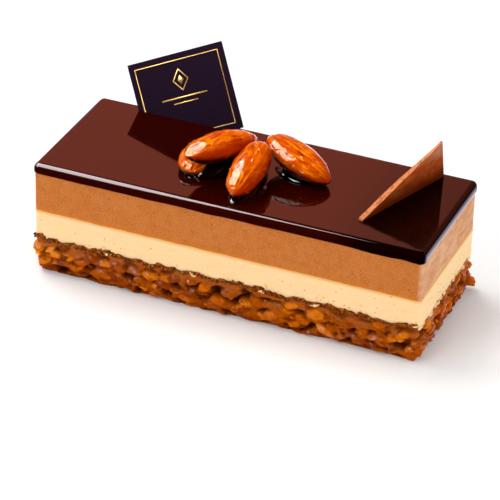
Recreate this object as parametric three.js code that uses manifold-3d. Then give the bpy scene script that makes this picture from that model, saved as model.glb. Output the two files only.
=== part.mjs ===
// A bar-shaped slice of hazelnut mousse cake: a craggy praline base, a pale cream layer, hazelnut mousse and
// a poured chocolate glaze, topped with four caramelised almonds, a chocolate shard and a small plain card.
// Millimetres, +Z up. The origin is the middle of the underside, X runs along the bar and -Y is its front.

import * as THREE from "three";
import { ImprovedNoise } from "three/addons/math/ImprovedNoise.js";
import { mergeVertices } from "three/addons/utils/BufferGeometryUtils.js";
import Module from "manifold-3d";

// The bar and the heights of its layers
const LENGTH = 120;
const WIDTH = 45;
const CORNER = 0.8;
const CORNER_FAN = 3;
const BASE_TOP = 12;
const CREAM_TOP = 20.7;
const MOUSSE_TOP = 33.1;
const GLAZE_TOP = 36.1;

// The praline base: step along its outline, crag depth, undercut at the foot and ragged top line
const OUTLINE_STEP = 1.65;
const BASE_RINGS = 7;
const CRAG_DEPTH = 0.95;
const CRAG_SIZE = 3.4;
const FINE_CRAG_SHARE = 0.5;
const UNDERCUT = 1.1;
const UNDERCUT_HEIGHT = 2.6;
const RAGGED_DEPTH = 1.4;
const RAGGED_SIZE = 3.1;
const RAGGED_REACH = 2.2;

// Caramelised nut chunks that stand out of the base
const CHUNK_COUNT = 112;
const CHUNK_ROWS = 3;
const CHUNK_SEED = 417;
const CHUNK_WANDER = 0.8;
const CHUNK_SMALLNESS = 1.4;
const CHUNK_VARIETY = 3;
const CHUNK_RADIUS_MIN = 1.2;
const CHUNK_RADIUS_MAX = 2.2;
const CHUNK_SINK = 0.45;
const CHUNK_FLOOR_GAP = 0.5;
const CHUNK_TOP_GAP = 1.4;
const CHUNK_FLATTEN = 0.78;
const CHUNK_UNEVEN = 0.28;

// The cream's smeared side
const SMEAR_DEPTH = 0.22;
const SMEAR_SIZE = 9;

// The glaze's lip and rounded edge
const GLAZE_LIP = 0.6;
const GLAZE_CORNER = 3;
const GLAZE_EDGE = 1.8;
const GLAZE_FOOT = 0.45;
const GLAZE_ARC_STEPS = 5;
const CORNER_STEPS = 6;

// The almonds: [length, width, thickness, x, y, height over the glaze, heading, pitch, roll]
const ALMOND_BLUNT = 0.64;
const ALMOND_TIP = 0.66;
const ALMOND_RINGS = 18;
const ALMOND_SIDES = 16;
const ALMONDS = {
  almond_left: [25.2, 10.2, 9.3, -9.3, -3.4, 7.9, 58, -4, -6],
  almond_under: [20, 11.5, 5.8, -17.1, -1.4, 1.6, 101, -2, 4],
  almond_middle: [22.2, 10.4, 9, 1.4, -8.3, 5.45, -91, -16, 2],
  almond_right: [24.2, 11.9, 8.3, 11.9, 3.9, 5.1, -20, -14, -7],
};

// The shard: a thin plate on its long edge, pressed into the glaze and leaning to the right
const SHARD_FRONT = new THREE.Vector2(38.24, -12.93);
const SHARD_BACK = new THREE.Vector2(50.38, 21.23);
const SHARD_LEAN = 22;
const SHARD_HEIGHT = 20.5;
const SHARD_APEX_ALONG = 24.5;
const SHARD_TIP_HEIGHT = 0.5;
const SHARD_THICK = 1.5;
const SHARD_SUNK = 1.2;
const SHARD_CHIP = 0.7;
const SHARD_CHIP_STEPS = 14;
const SHARD_CHIP_SIZE = 2.7;

// The card: turned in its own plane, leaning back, its low corner pushed down into the mousse
const CARD_WIDTH = 31.5;
const CARD_HEIGHT = 26.4;
const CARD_THICK = 0.4;
const CARD_TURN = 25;
const CARD_LEAN = 20;
const CARD_FOOT_Y = 19.8;
const CARD_CENTRE_X = -32.2;
const CARD_CENTRE_SLANT = 7.2;

// Room round a piece that is pressed into another
const FIT_GAP = 0.3;

const wasm = await Module();
wasm.setup();
const noise = new ImprovedNoise();
const radians = THREE.MathUtils.degToRad;

// A repeatable stream of numbers from 0 to 1
function seededDraws(seed) {
  let state = seed;
  return () => {
    state = (state + 0x6d2b79f5) | 0;
    let mixed = Math.imul(state ^ (state >>> 15), 1 | state);
    mixed = (mixed + Math.imul(mixed ^ (mixed >>> 7), 61 | mixed)) ^ mixed;
    return ((mixed ^ (mixed >>> 14)) >>> 0) / 2 ** 32;
  };
}

// The bar's outline, grown or shrunk evenly by an offset
function barOutline(offset = 0, corner = CORNER) {
  const radius = corner + offset;
  const x = LENGTH / 2 - corner;
  const y = WIDTH / 2 - corner;
  const outline = new THREE.Shape();
  outline.absarc(x, -y, radius, -Math.PI / 2, 0);
  outline.absarc(x, y, radius, 0, Math.PI / 2);
  outline.absarc(-x, y, radius, Math.PI / 2, Math.PI);
  outline.absarc(-x, -y, radius, Math.PI, 1.5 * Math.PI);
  outline.closePath();
  return outline;
}

// The way out of the bar from a point on its outline, fanning out evenly round each corner
function outward(point) {
  const core = new THREE.Vector2(LENGTH / 2 - CORNER_FAN, WIDTH / 2 - CORNER_FAN);
  const nearest = point.clone().clamp(core.clone().negate(), core);
  return point.clone().sub(nearest).normalize();
}

// A ring of closely spaced points round the bar, each moved out and lifted by its own rule
function fineRing(out, height) {
  const points = barOutline().curves.flatMap((curve) => {
    const steps = Math.ceil(curve.getLength() / OUTLINE_STEP);
    return curve.getSpacedPoints(steps).slice(0, steps);
  });
  return points.map((point) => {
    const moved = point.clone().addScaledVector(outward(point), out(point));
    return new THREE.Vector3(moved.x, moved.y, height(point));
  });
}

// A closed body through a stack of rings from the underside up, with a fan at each end. Each quad is split
// along its shorter diagonal, so two bodies that share a pair of rings meet exactly.
function loft(rings) {
  const count = rings[0].length;
  const points = rings.flat();
  const middle = (ring) => {
    const sum = ring.reduce((total, point) => total.add(point), new THREE.Vector3());
    return sum.divideScalar(count);
  };
  const bottom = points.push(middle(rings[0])) - 1;
  const top = points.push(middle(rings.at(-1))) - 1;
  const indices = [];
  for (let level = 0; level < rings.length - 1; level += 1) {
    for (let i = 0; i < count; i += 1) {
      const a = level * count + i;
      const b = level * count + ((i + 1) % count);
      const c = a + count;
      const d = b + count;
      const falling = points[a].distanceTo(points[d]) < points[b].distanceTo(points[c]);
      indices.push(...(falling ? [a, b, d, a, d, c] : [a, b, c, b, d, c]));
    }
  }
  const last = (rings.length - 1) * count;
  for (let i = 0; i < count; i += 1) {
    const next = (i + 1) % count;
    indices.push(bottom, next, i, top, last + i, last + next);
  }
  const geometry = new THREE.BufferGeometry().setFromPoints(points);
  geometry.setIndex(indices);
  geometry.computeVertexNormals();
  return geometry;
}

function toSolid(geometry) {
  const plain = geometry.clone();
  plain.deleteAttribute("normal");
  plain.deleteAttribute("uv");
  const merged = mergeVertices(plain);
  const vertProperties = new Float32Array(merged.getAttribute("position").array);
  const triVerts = new Uint32Array(merged.getIndex().array);
  return new wasm.Manifold(new wasm.Mesh({ numProp: 3, vertProperties, triVerts }));
}

function toGeometry(solid) {
  const mesh = solid.getMesh();
  const geometry = new THREE.BufferGeometry();
  geometry.setAttribute("position", new THREE.BufferAttribute(mesh.vertProperties, 3));
  geometry.setIndex(new THREE.BufferAttribute(mesh.triVerts, 1));
  geometry.computeVertexNormals();
  return geometry;
}

// The ragged line where cream runs down between the praline's lumps, with a flat meeting further in
function raggedHeight(point) {
  return BASE_TOP + RAGGED_DEPTH * noise.noise(point.x / RAGGED_SIZE, point.y / RAGGED_SIZE, BASE_TOP);
}

const meetingRing = () => fineRing(() => -RAGGED_REACH, () => BASE_TOP);
const raggedRing = () => fineRing(() => 0, raggedHeight);

// How far the base stands out at a point: coarse and fine crags, fading to none at the top, over an undercut
function cragDepth(point, height) {
  const at = (size) => noise.noise(point.x / size, point.y / size, height / size);
  const fade = Math.sqrt(1 - height / BASE_TOP);
  const low = Math.max(0, 1 - height / UNDERCUT_HEIGHT);
  const crags = at(CRAG_SIZE) + FINE_CRAG_SHARE * at(CRAG_SIZE / 2);
  return CRAG_DEPTH * crags * fade - UNDERCUT * low * low;
}

// One nut chunk: an uneven lump with its place, size and turn drawn from the seeded stream
function nutChunk(index, draw) {
  const along = ((index + CHUNK_WANDER * draw()) / CHUNK_COUNT) % 1;
  const radius = THREE.MathUtils.lerp(CHUNK_RADIUS_MIN, CHUNK_RADIUS_MAX, draw() ** CHUNK_SMALLNESS);
  const lowest = radius + CHUNK_FLOOR_GAP;
  const highest = BASE_TOP - CHUNK_TOP_GAP - radius;
  const height = THREE.MathUtils.lerp(lowest, highest, ((index % CHUNK_ROWS) + draw()) / CHUNK_ROWS);
  const turn = new THREE.Euler(2 * Math.PI * draw(), 2 * Math.PI * draw(), 2 * Math.PI * draw());
  const lump = new THREE.IcosahedronGeometry(radius, 0);
  const corners = lump.getAttribute("position");
  for (let i = 0; i < corners.count; i += 1) {
    const corner = new THREE.Vector3().fromBufferAttribute(corners, i);
    const uneven = 1 + CHUNK_UNEVEN * noise.noise(corner.x + CHUNK_VARIETY * index, corner.y, corner.z);
    corners.setXYZ(i, corner.x * uneven, corner.y * uneven, corner.z * uneven * CHUNK_FLATTEN);
  }
  const foot = barOutline().getPointAt(along);
  const centre = foot.clone().addScaledVector(outward(foot), -CHUNK_SINK * radius);
  const place = new THREE.Matrix4().makeRotationFromEuler(turn);
  place.setPosition(centre.x, centre.y, height);
  return lump.applyMatrix4(place);
}

function pralineBase() {
  const rings = [];
  for (let level = 0; level < BASE_RINGS; level += 1) {
    const height = (BASE_TOP * level) / BASE_RINGS;
    rings.push(fineRing((point) => cragDepth(point, height), () => height));
  }
  rings.push(raggedRing(), meetingRing());
  const draw = seededDraws(CHUNK_SEED);
  let solid = toSolid(loft(rings));
  for (let index = 0; index < CHUNK_COUNT; index += 1) {
    solid = solid.add(toSolid(nutChunk(index, draw)));
  }
  return toGeometry(solid);
}

function creamLayer() {
  const middle = (BASE_TOP + CREAM_TOP) / 2;
  const smear = (point) => SMEAR_DEPTH * noise.noise(point.x / SMEAR_SIZE, point.y / SMEAR_SIZE, middle);
  const waist = fineRing(smear, () => middle);
  const top = fineRing(() => 0, () => CREAM_TOP);
  return loft([meetingRing(), raggedRing(), waist, top]);
}

function hazelnutMousse(slot) {
  const settings = { depth: MOUSSE_TOP - CREAM_TOP, bevelEnabled: false, curveSegments: CORNER_STEPS };
  const bar = new THREE.ExtrudeGeometry(barOutline(), settings).translate(0, 0, CREAM_TOP);
  return toGeometry(toSolid(bar).subtract(slot));
}

// The glaze stands a little proud of the mousse, with a turned-in foot and a rounded top edge
function chocolateGlaze(slots) {
  const ring = (offset, height) => {
    const points = barOutline(offset, GLAZE_CORNER).getPoints(CORNER_STEPS).slice(0, -1);
    return points.map((point) => new THREE.Vector3(point.x, point.y, height));
  };
  const rings = [ring(0, MOUSSE_TOP), ring(GLAZE_LIP, MOUSSE_TOP + GLAZE_FOOT)];
  for (let step = 0; step <= GLAZE_ARC_STEPS; step += 1) {
    const angle = (step / GLAZE_ARC_STEPS) * (Math.PI / 2);
    const offset = GLAZE_LIP - GLAZE_EDGE * (1 - Math.cos(angle));
    rings.push(ring(offset, GLAZE_TOP - GLAZE_EDGE * (1 - Math.sin(angle))));
  }
  return toGeometry(slots.reduce((solid, slot) => solid.subtract(slot), toSolid(loft(rings))));
}

// An almond lying along X: rounded at the blunt end, drawn to a point at the tip, flatter than it is wide
function almondGeometry(length, width, thick) {
  const peak = ALMOND_BLUNT / (ALMOND_BLUNT + ALMOND_TIP);
  const swell = (u) => u ** ALMOND_BLUNT * (1 - u) ** ALMOND_TIP;
  const profile = [];
  for (let ring = 0; ring <= ALMOND_RINGS; ring += 1) {
    const u = (1 - Math.cos((Math.PI * ring) / ALMOND_RINGS)) / 2;
    const radius = ring === ALMOND_RINGS ? 0 : ((width / 2) * swell(u)) / swell(peak);
    profile.push(new THREE.Vector2(radius, (u - 0.5) * length));
  }
  const almond = new THREE.LatheGeometry(profile, ALMOND_SIDES);
  almond.rotateZ(-Math.PI / 2);
  almond.scale(1, 1, thick / width);
  return almond;
}

function almondPlace(name) {
  const [x, y, height, heading, pitch, roll] = ALMONDS[name].slice(3);
  const turn = new THREE.Euler(radians(roll), radians(-pitch), radians(heading), "ZYX");
  return new THREE.Matrix4().makeRotationFromEuler(turn).setPosition(x, y, GLAZE_TOP + height);
}

// One almond of the heap, grown evenly where it serves to press a hollow into the glaze
function almondShape(name, grown = 0) {
  const [length, width, thick] = ALMONDS[name].slice(0, 3).map((size) => size + 2 * grown);
  return almondGeometry(length, width, thick);
}

function almondHollow(name) {
  return toSolid(almondShape(name, FIT_GAP).applyMatrix4(almondPlace(name)));
}

// The shard's plate, drawn along X from its low tip with its foot at zero, its long upper edge chipped
function shardOutline(length) {
  const apex = new THREE.Vector2(SHARD_APEX_ALONG, SHARD_HEIGHT);
  const tip = new THREE.Vector2(0, SHARD_TIP_HEIGHT);
  const outline = new THREE.Shape();
  outline.moveTo(0, -SHARD_SUNK);
  outline.lineTo(length, -SHARD_SUNK);
  outline.lineTo(length, 0);
  outline.lineTo(apex.x, apex.y);
  for (let step = 1; step < SHARD_CHIP_STEPS; step += 1) {
    const edge = apex.clone().lerp(tip, step / SHARD_CHIP_STEPS);
    const uneven = noise.noise(edge.length() / SHARD_CHIP_SIZE, SHARD_HEIGHT, SHARD_CHIP);
    outline.lineTo(edge.x, edge.y - SHARD_CHIP * Math.abs(uneven));
  }
  outline.lineTo(tip.x, tip.y);
  outline.closePath();
  return outline;
}

const shardRun = SHARD_BACK.clone().sub(SHARD_FRONT);
const shardPlace = new THREE.Matrix4()
  .makeTranslation(SHARD_FRONT.x, SHARD_FRONT.y, GLAZE_TOP)
  .multiply(new THREE.Matrix4().makeRotationZ(shardRun.angle()))
  .multiply(new THREE.Matrix4().makeRotationX(radians(90 + SHARD_LEAN)));

function chocolateShard() {
  const settings = { depth: SHARD_THICK, bevelEnabled: false };
  const plate = new THREE.ExtrudeGeometry(shardOutline(shardRun.length()), settings);
  return plate.translate(0, 0, -SHARD_THICK);
}

function shardSlot() {
  const length = shardRun.length();
  const depth = 2 * (SHARD_SUNK + FIT_GAP);
  const slot = new THREE.BoxGeometry(length + 2 * FIT_GAP, depth, SHARD_THICK + 2 * FIT_GAP);
  return toSolid(slot.translate(length / 2, 0, -SHARD_THICK / 2).applyMatrix4(shardPlace));
}

const cardSlant = new THREE.Vector3(0, Math.sin(radians(CARD_LEAN)), Math.cos(radians(CARD_LEAN)));
const cardCentre = new THREE.Vector3(CARD_CENTRE_X, CARD_FOOT_Y, GLAZE_TOP).addScaledVector(
  cardSlant,
  CARD_CENTRE_SLANT,
);
const cardPlace = new THREE.Matrix4()
  .makeTranslation(cardCentre)
  .multiply(new THREE.Matrix4().makeRotationX(radians(90 - CARD_LEAN)))
  .multiply(new THREE.Matrix4().makeRotationZ(radians(CARD_TURN)));

function labelCard(grown = 0) {
  const [width, height, thick] = [CARD_WIDTH, CARD_HEIGHT, CARD_THICK].map((size) => size + 2 * grown);
  return new THREE.BoxGeometry(width, height, thick);
}

function cardSlot() {
  return toSolid(labelCard(FIT_GAP).applyMatrix4(cardPlace));
}

function named(name, geometry, material, place = new THREE.Matrix4()) {
  const mesh = new THREE.Mesh(geometry, material);
  mesh.name = name;
  mesh.applyMatrix4(place);
  return mesh;
}

function finish(color, roughness, metalness = 0) {
  return new THREE.MeshStandardMaterial({ color, roughness, metalness });
}

const intoMousse = cardSlot();
const intoGlaze = [intoMousse, shardSlot(), almondHollow("almond_under")];
const cake = new THREE.Group();
cake.add(
  named("praline_base", pralineBase(), finish(0x8d4310, 0.45)),
  named("cream_layer", creamLayer(), finish(0xf7cf97, 0.6)),
  named("hazelnut_mousse", hazelnutMousse(intoMousse), finish(0xc67538, 0.75)),
  named("chocolate_glaze", chocolateGlaze(intoGlaze), finish(0x3c130c, 0.08)),
  named("chocolate_shard", chocolateShard(), finish(0x6b3019, 0.4), shardPlace),
  named("label_card", labelCard(), finish(0x221829, 0.5), cardPlace),
);
for (const name of Object.keys(ALMONDS)) {
  const almond = toGeometry(toSolid(almondShape(name)));
  cake.add(named(name, almond, finish(0xc9500f, 0.2), almondPlace(name)));
}

export default cake;
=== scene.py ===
"""Dresses a bar-shaped slice of hazelnut mousse cake, layer by layer, and sets it on a studio floor."""
import math

import bmesh
import bpy
import numpy as np
from bpy.props import FloatProperty, FloatVectorProperty, IntProperty, PointerProperty
from mathutils import Matrix, Vector, noise
from mathutils.bvhtree import BVHTree


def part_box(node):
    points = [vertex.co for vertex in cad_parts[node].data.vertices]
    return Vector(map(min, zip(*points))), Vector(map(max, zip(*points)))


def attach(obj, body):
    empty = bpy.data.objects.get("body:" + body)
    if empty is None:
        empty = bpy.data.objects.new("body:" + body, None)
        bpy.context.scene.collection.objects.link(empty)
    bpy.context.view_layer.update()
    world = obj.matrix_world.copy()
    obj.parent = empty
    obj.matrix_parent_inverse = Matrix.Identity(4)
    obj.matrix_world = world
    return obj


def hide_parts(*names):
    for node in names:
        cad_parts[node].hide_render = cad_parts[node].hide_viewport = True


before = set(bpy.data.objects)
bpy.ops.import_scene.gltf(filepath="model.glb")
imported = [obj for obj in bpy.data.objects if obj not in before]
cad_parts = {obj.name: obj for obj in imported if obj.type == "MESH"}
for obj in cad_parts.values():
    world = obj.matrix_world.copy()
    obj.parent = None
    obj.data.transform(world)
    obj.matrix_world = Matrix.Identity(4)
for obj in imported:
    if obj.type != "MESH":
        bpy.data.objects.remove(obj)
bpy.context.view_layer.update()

bl_info = {
    "name": "Hazelnut mousse cake slice",
    "version": (1, 0, 0),
    "blender": (4, 5, 0),
    "location": "View3D > Sidebar > Cake",
    "description": "Dresses a slice of hazelnut mousse cake and sets it on a studio floor",
    "category": "Object",
}

MM = 0.001
BODY = "root"

# Gaps that count as none, where the noise of each seed starts, and a size that makes a pattern level
WELD = 0.002 * MM
TOUCH = 0.001 * MM
TINY = 1e-9
NOISE_START = 0.37
NOISE_STRIDE = 7.31
LEVEL = 1000

# The bar and its layers, as the solids have them
CREAM_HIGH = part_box("cream_layer")[1]
MOUSSE_LOW, MOUSSE_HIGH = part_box("hazelnut_mousse")
GLAZE_LOW, GLAZE_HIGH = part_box("chocolate_glaze")
HALF_LENGTH = MOUSSE_HIGH.x
HALF_WIDTH = MOUSSE_HIGH.y
OUTLINE = 4 * (HALF_LENGTH + HALF_WIDTH)
CORNER_FAN = 3 * MM
CORNER_STEPS = 3
SIDE_BAND = 0.3 * MM
LINE_BAND = 1.6 * MM


def linear(code):
    """A six-digit sRGB hex colour as linear red, green, blue and alpha."""
    channels = [int(code[place:place + 2], 16) / 255 for place in (0, 2, 4)]
    return (*[c / 12.92 if c <= 0.04045 else ((c + 0.055) / 1.055) ** 2.4 for c in channels], 1.0)


def length(name, description, millimetres):
    """A property for a size, given in millimetres and kept in metres."""
    return FloatProperty(
        name=name, description=description, default=millimetres * MM, min=0.0, unit="LENGTH", precision=5
    )


def count(name, description, number):
    """A property for how many there are of a thing."""
    return IntProperty(name=name, description=description, default=number)


def colour(name, description, code):
    """A property for a colour, given as sRGB hex and kept linear."""
    return FloatVectorProperty(
        name=name, description=description, default=linear(code), size=4, min=0.0, max=1.0, subtype="COLOR"
    )


class CakeSizes(bpy.types.PropertyGroup):
    """Sizes of the dressed cake that a user would change."""

    base_height: length("Praline height", "Height of the praline base, without its ragged top line", 12.0)
    praline_grain: length("Praline mesh grain", "Edge length of the praline's mesh", 0.3)
    crag_depth: length("Crag depth", "How far the caramel swells and sinks", 0.8)
    hollow_depth: length("Hollow depth", "Depth of the dark holes between the lumps", 2.4)
    rim_height: length("Rim height", "Height of the scorched crust along the praline's top", 1.2)
    nut_count: count("Small nuts", "Small nuts between the large", 130)
    splinter_count: count("Splinters", "Splinters of nut on the caramel", 90)
    flake_count: count("Rim flakes", "Scorched flakes along the praline's top line", 340)
    bit_count: count("Pale bits", "Pale nut bits under the praline's top line", 14)
    fringe_count: count("Fringe", "Slivers of cream over the praline", 26)
    crumb_count: count("Crumbs", "Crumbs stuck to the cream", 190)
    corner: length("Corner radius", "Radius of the bar's upright corners", 0.8)
    layer_step: length("Layer mesh step", "Distance between the first cuts across a layer's sides", 2.0)
    smear_depth: length("Smear depth", "Depth of the smears that the knife left in the cream", 0.06)
    boundary_wave: length("Boundary wave", "How far the line between cream and mousse wanders", 0.2)
    glaze_corner: length("Glaze corner", "Radius of the glaze's upright corners", 2.0)
    glaze_edge: length("Glaze edge", "Radius of the glaze's rounded top edge", 1.8)
    glaze_foot: length("Glaze foot", "Radius where the glaze turns in to the mousse", 0.45)
    glaze_sag: length("Glaze sag", "How far the glaze's lower edge hangs down in places", 0.45)
    glaze_wave: length("Glaze wave", "Height of the slow swell in the glaze's top", 0.014)
    almond_ridge: length("Almond ridge", "Depth of the ridges that run along an almond", 0.08)
    almond_dent: length("Almond dent", "Depth of the broad dents and swellings of an almond", 0.16)
    caramel_bead: length("Caramel bead", "Height of the beads of caramel on an almond", 0.5)
    caramel_skin: length("Caramel skin", "Thickness of the caramel patches on an almond", 0.14)
    card_border: length("Card border", "Distance of the gold line from the card's edge", 1.9)
    foil_width: length("Foil width", "Width of the gold line", 0.25)


class CakeColours(bpy.types.PropertyGroup):
    """Colours of the cake and its toppings."""

    caramel: colour("Caramel", "Set caramel with ground nuts", "803205")
    amber: colour("Amber", "Thin caramel with light in it", "ae5406")
    paste: colour("Praline paste", "Smooth praline paste along the top", "ac581e")
    # Painted shade in the praline's holes, and the dark fibres of the card
    hollow_shade_and_fibre: colour("Burnt caramel", "Deep holes of the praline", "2c0800")
    crust: colour("Scorched crust", "Scorched crust along the praline's top", "64290a")
    rubbed_crust: colour("Rubbed crust", "Crumbs of the crust where it is rubbed", "b4661f")
    nut: colour("Nut", "Caramelised nut", "cc6406")
    deep_nut: colour("Deep nut", "Nut under thick caramel", "8a3603")
    # Lighter nuts, and the painted glow of light shining through nuts at the front left corner
    clear_nut: colour("Clear nut", "Nut with light shining through", "f59a1c")
    pale_nut: colour("Pale nut", "Broken face of a nut", "f6d6a2")
    crumb: colour("Crumb", "Caramel rubbed into the cream", "ea9416")
    cream: colour("Cream", "Pale cream", "f9d3a0")
    cream_smear: colour("Cream smear", "Cream rubbed by the knife", "f5c88f")
    cream_seam: colour("Cream seam", "Cream that took colour from the mousse", "eaa85e")
    mousse: colour("Mousse", "Hazelnut mousse", "c07036")
    mousse_dark: colour("Mousse shade", "Denser patches of the mousse", "b96629")
    mousse_pale: colour("Mousse foam", "Fine bubbles in the mousse", "d08a50")
    mousse_speck: colour("Mousse speck", "Hazelnut skin in the mousse", "84451c")
    mousse_seam: colour("Mousse seam", "Mousse where it soaked into the cream", "d67c22")
    # Pale film on the mousse's end, with painted sheen of grazing light
    mousse_frost_and_sheen: colour("Mousse frost", "Pale film on the mousse's end", "e2b795")
    glaze: colour("Glaze", "Body of the chocolate glaze", "2a0300")
    # Painted shadow of the shard on the glaze
    glaze_shard_shadow: colour("Deep glaze", "Glaze that gathered thick round the shard", "0c0000")
    almond: colour("Almond", "Caramel over almond skin", "da5402")
    almond_dark: colour("Almond furrow", "Skin in the almond's furrows", "902400")
    almond_light: colour("Almond crest", "Caramel on the almond's ridges", "ff9e0c")
    # Painted shade: the almonds' flanks that face away from the light, and their undersides
    almond_flank_shade: colour("Almond flank", "Caramel that ran down the almond's flanks", "981c00")
    almond_under: colour("Almond underside", "Caramel that set thick under the almond", "2c0300")
    # Dark syrup, which also stands in for the shade under the almonds
    syrup: colour("Syrup", "Dark caramel that ran off the almonds", "0e0301")
    chocolate: colour("Milk chocolate", "Tempered milk chocolate", "9e3f12")
    chocolate_pale: colour("Chocolate cloud", "Paler clouds in the chocolate", "b0602f")
    # Pale bloom with painted sheen high on the shard's face
    chocolate_bloom_and_sheen: colour("Chocolate bloom", "Pale film high on the chocolate", "c08a6c")
    # Darker clouds in the chocolate, and painted shade low on the shard where it leans over the glaze
    chocolate_dark_and_foot_shade: colour("Chocolate foot", "Chocolate darkened by the wet glaze", "581600")
    chocolate_snap: colour("Chocolate break", "Snapped edge of the chocolate", "dc8450")
    card: colour("Card", "Coated dark card", "211728")
    foil: colour("Foil", "Gold foil line", "b08a3c")
    floor: colour("Floor", "White studio floor", "f4f4f4")
    warm: colour("Warm wall", "What the polished surfaces mirror behind the cake", "ff8a70")
    panel: colour("Pale panel", "What the polished surfaces mirror low behind the cake", "e6dcf0")


# Small tools for modelling

def deselect_all():
    bpy.ops.object.select_all(action="DESELECT")


def make_active(piece):
    deselect_all()
    piece.select_set(True)
    bpy.context.view_layer.objects.active = piece


def start_edit(piece, kind):
    make_active(piece)
    bpy.ops.object.mode_set(mode="EDIT")
    bpy.ops.mesh.select_mode(type=kind)


def end_edit():
    bpy.ops.object.mode_set(mode="OBJECT")


def pick(piece, kind, wanted):
    """Selects the faces or edges of the mesh in edit mode that pass a test, and nothing else."""
    bpy.ops.mesh.select_all(action="DESELECT")
    mesh = bmesh.from_edit_mesh(piece.data)
    for part in getattr(mesh, kind):
        if wanted(part):
            part.select_set(True)
    mesh.select_flush_mode()
    bmesh.update_edit_mesh(piece.data)


def apply_modifier(piece, kind, **settings):
    modifier = piece.modifiers.new(kind.title(), kind)
    for name, value in settings.items():
        setattr(modifier, name, value)
    make_active(piece)
    bpy.ops.object.modifier_apply(modifier=modifier.name)


def smooth(piece):
    make_active(piece)
    bpy.ops.object.shade_smooth()


def read_points(piece):
    points = np.empty(len(piece.data.vertices) * 3)
    piece.data.vertices.foreach_get("co", points)
    return points.reshape(-1, 3)


def write_points(piece, points):
    piece.data.vertices.foreach_set("co", points.ravel())
    piece.data.update()


def write_attribute(piece, name, values):
    attribute = piece.data.attributes.new(name, "FLOAT", "POINT")
    attribute.data.foreach_set("value", np.asarray(values, dtype=np.float32))


def write_vectors(piece, name, vectors):
    attribute = piece.data.attributes.new(name, "FLOAT_VECTOR", "POINT")
    attribute.data.foreach_set("vector", np.asarray(vectors, dtype=np.float32).ravel())


def node_copy(node, name):
    """A loose copy of a solid with its triangles joined up, free to be shaped."""
    piece = bpy.data.objects.new(name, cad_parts[node].data.copy())
    bpy.context.scene.collection.objects.link(piece)
    piece.data.materials.clear()
    start_edit(piece, "VERT")
    bpy.ops.mesh.select_all(action="SELECT")
    bpy.ops.mesh.remove_doubles(threshold=WELD)
    end_edit()
    return piece


def remesh(piece, grain):
    make_active(piece)
    piece.data.remesh_voxel_size = grain
    bpy.ops.object.voxel_remesh()


def join(pieces):
    """Joins pieces into the first of them."""
    make_active(pieces[0])
    for piece in pieces:
        piece.select_set(True)
    bpy.ops.object.join()
    return pieces[0]


def put(piece, place):
    """Moves a piece to its place and leaves that place in its mesh."""
    piece.matrix_world = place
    make_active(piece)
    bpy.ops.object.transform_apply(location=True, rotation=True, scale=False)


def settle(piece, finish, slot, *nodes):
    """Gives a finished piece its material and its body, and hides the solids that it stands for. The slot is
    not used.
    """
    piece.data.materials.clear()
    piece.data.materials.append(finish)
    smooth(piece)
    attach(piece, BODY)
    if nodes:
        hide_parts(*nodes)


def ripple(points, sizes, seed):
    """Smooth noise from -1 to 1 at each point, with bumps of the given sizes along X, Y and Z."""
    scaled = points / np.array(sizes) + (NOISE_START + NOISE_STRIDE * seed)
    return np.array([noise.noise(point) for point in scaled.tolist()])


def relief(points, sizes, seed):
    """The same noise over a piece of the cake, with the bumps' sizes in millimetres."""
    return ripple(points, np.array(sizes) * MM, seed)


def ease(values, low, high):
    """Share from 0 at one limit to 1 at the other, with a soft start and end."""
    share = np.clip((values - low) / (high - low), 0, 1)
    return share * share * (3 - 2 * share)


def outward(points):
    """Level directions out of the bar's sides, fanning out round its corners, and zero further in."""
    core = np.array([HALF_LENGTH, HALF_WIDTH]) - CORNER_FAN
    away = points[:, :2] - np.clip(points[:, :2], -core, core)
    reach = np.linalg.norm(away, axis=1, keepdims=True)
    return np.divide(away, reach, out=np.zeros_like(away), where=reach > TINY)


def around(points):
    """Distance of each point round the bar, anticlockwise from the front left corner."""
    x, y = points[:, 0], points[:, 1]
    front = x + HALF_LENGTH
    right = 2 * HALF_LENGTH + y + HALF_WIDTH
    back = 2 * HALF_LENGTH + 2 * HALF_WIDTH + HALF_LENGTH - x
    left = 4 * HALF_LENGTH + 2 * HALF_WIDTH + HALF_WIDTH - y
    on_long_side = np.abs(y) - HALF_WIDTH > np.abs(x) - HALF_LENGTH
    return np.where(on_long_side, np.where(y < 0, front, back), np.where(x > 0, right, left)) % OUTLINE


def outline_place(distance):
    """Point on the bar's outline at a distance round it, with the ways out and along."""
    distance %= OUTLINE
    runs = (
        (2 * HALF_LENGTH, Vector((-HALF_LENGTH, -HALF_WIDTH, 0)), Vector((1, 0, 0))),
        (2 * HALF_WIDTH, Vector((HALF_LENGTH, -HALF_WIDTH, 0)), Vector((0, 1, 0))),
        (2 * HALF_LENGTH, Vector((HALF_LENGTH, HALF_WIDTH, 0)), Vector((-1, 0, 0))),
        (2 * HALF_WIDTH, Vector((-HALF_LENGTH, HALF_WIDTH, 0)), Vector((0, -1, 0))),
    )
    for run, start, along in runs:
        if distance <= run:
            return start + along * distance, Vector((along.y, -along.x, 0)), along
        distance -= run
    raise ValueError("the distance is off the outline")


def ragged_line(base_height):
    """Gives the height of the line between praline and cream, read off the solids, by distance round."""
    points = read_points(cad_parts["cream_layer"])
    inset = np.minimum(HALF_LENGTH - np.abs(points[:, 0]), HALF_WIDTH - np.abs(points[:, 1]))
    near = (inset < SIDE_BAND) & (np.abs(points[:, 2] - base_height) < LINE_BAND)
    ring = points[near]
    places, first = np.unique(np.round(around(ring), 6), return_index=True)
    heights = ring[first, 2]
    return lambda distance: np.interp(distance, places, heights, period=OUTLINE)


def boundary_wander(points, depth):
    """Rise and fall of the line between cream and mousse, alike for both layers."""
    slow = relief(points, (7, 7, LEVEL), 2)
    quick = relief(points, (2.3, 2.3, LEVEL), 3)
    return depth * (slow + 0.6 * quick)


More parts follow.
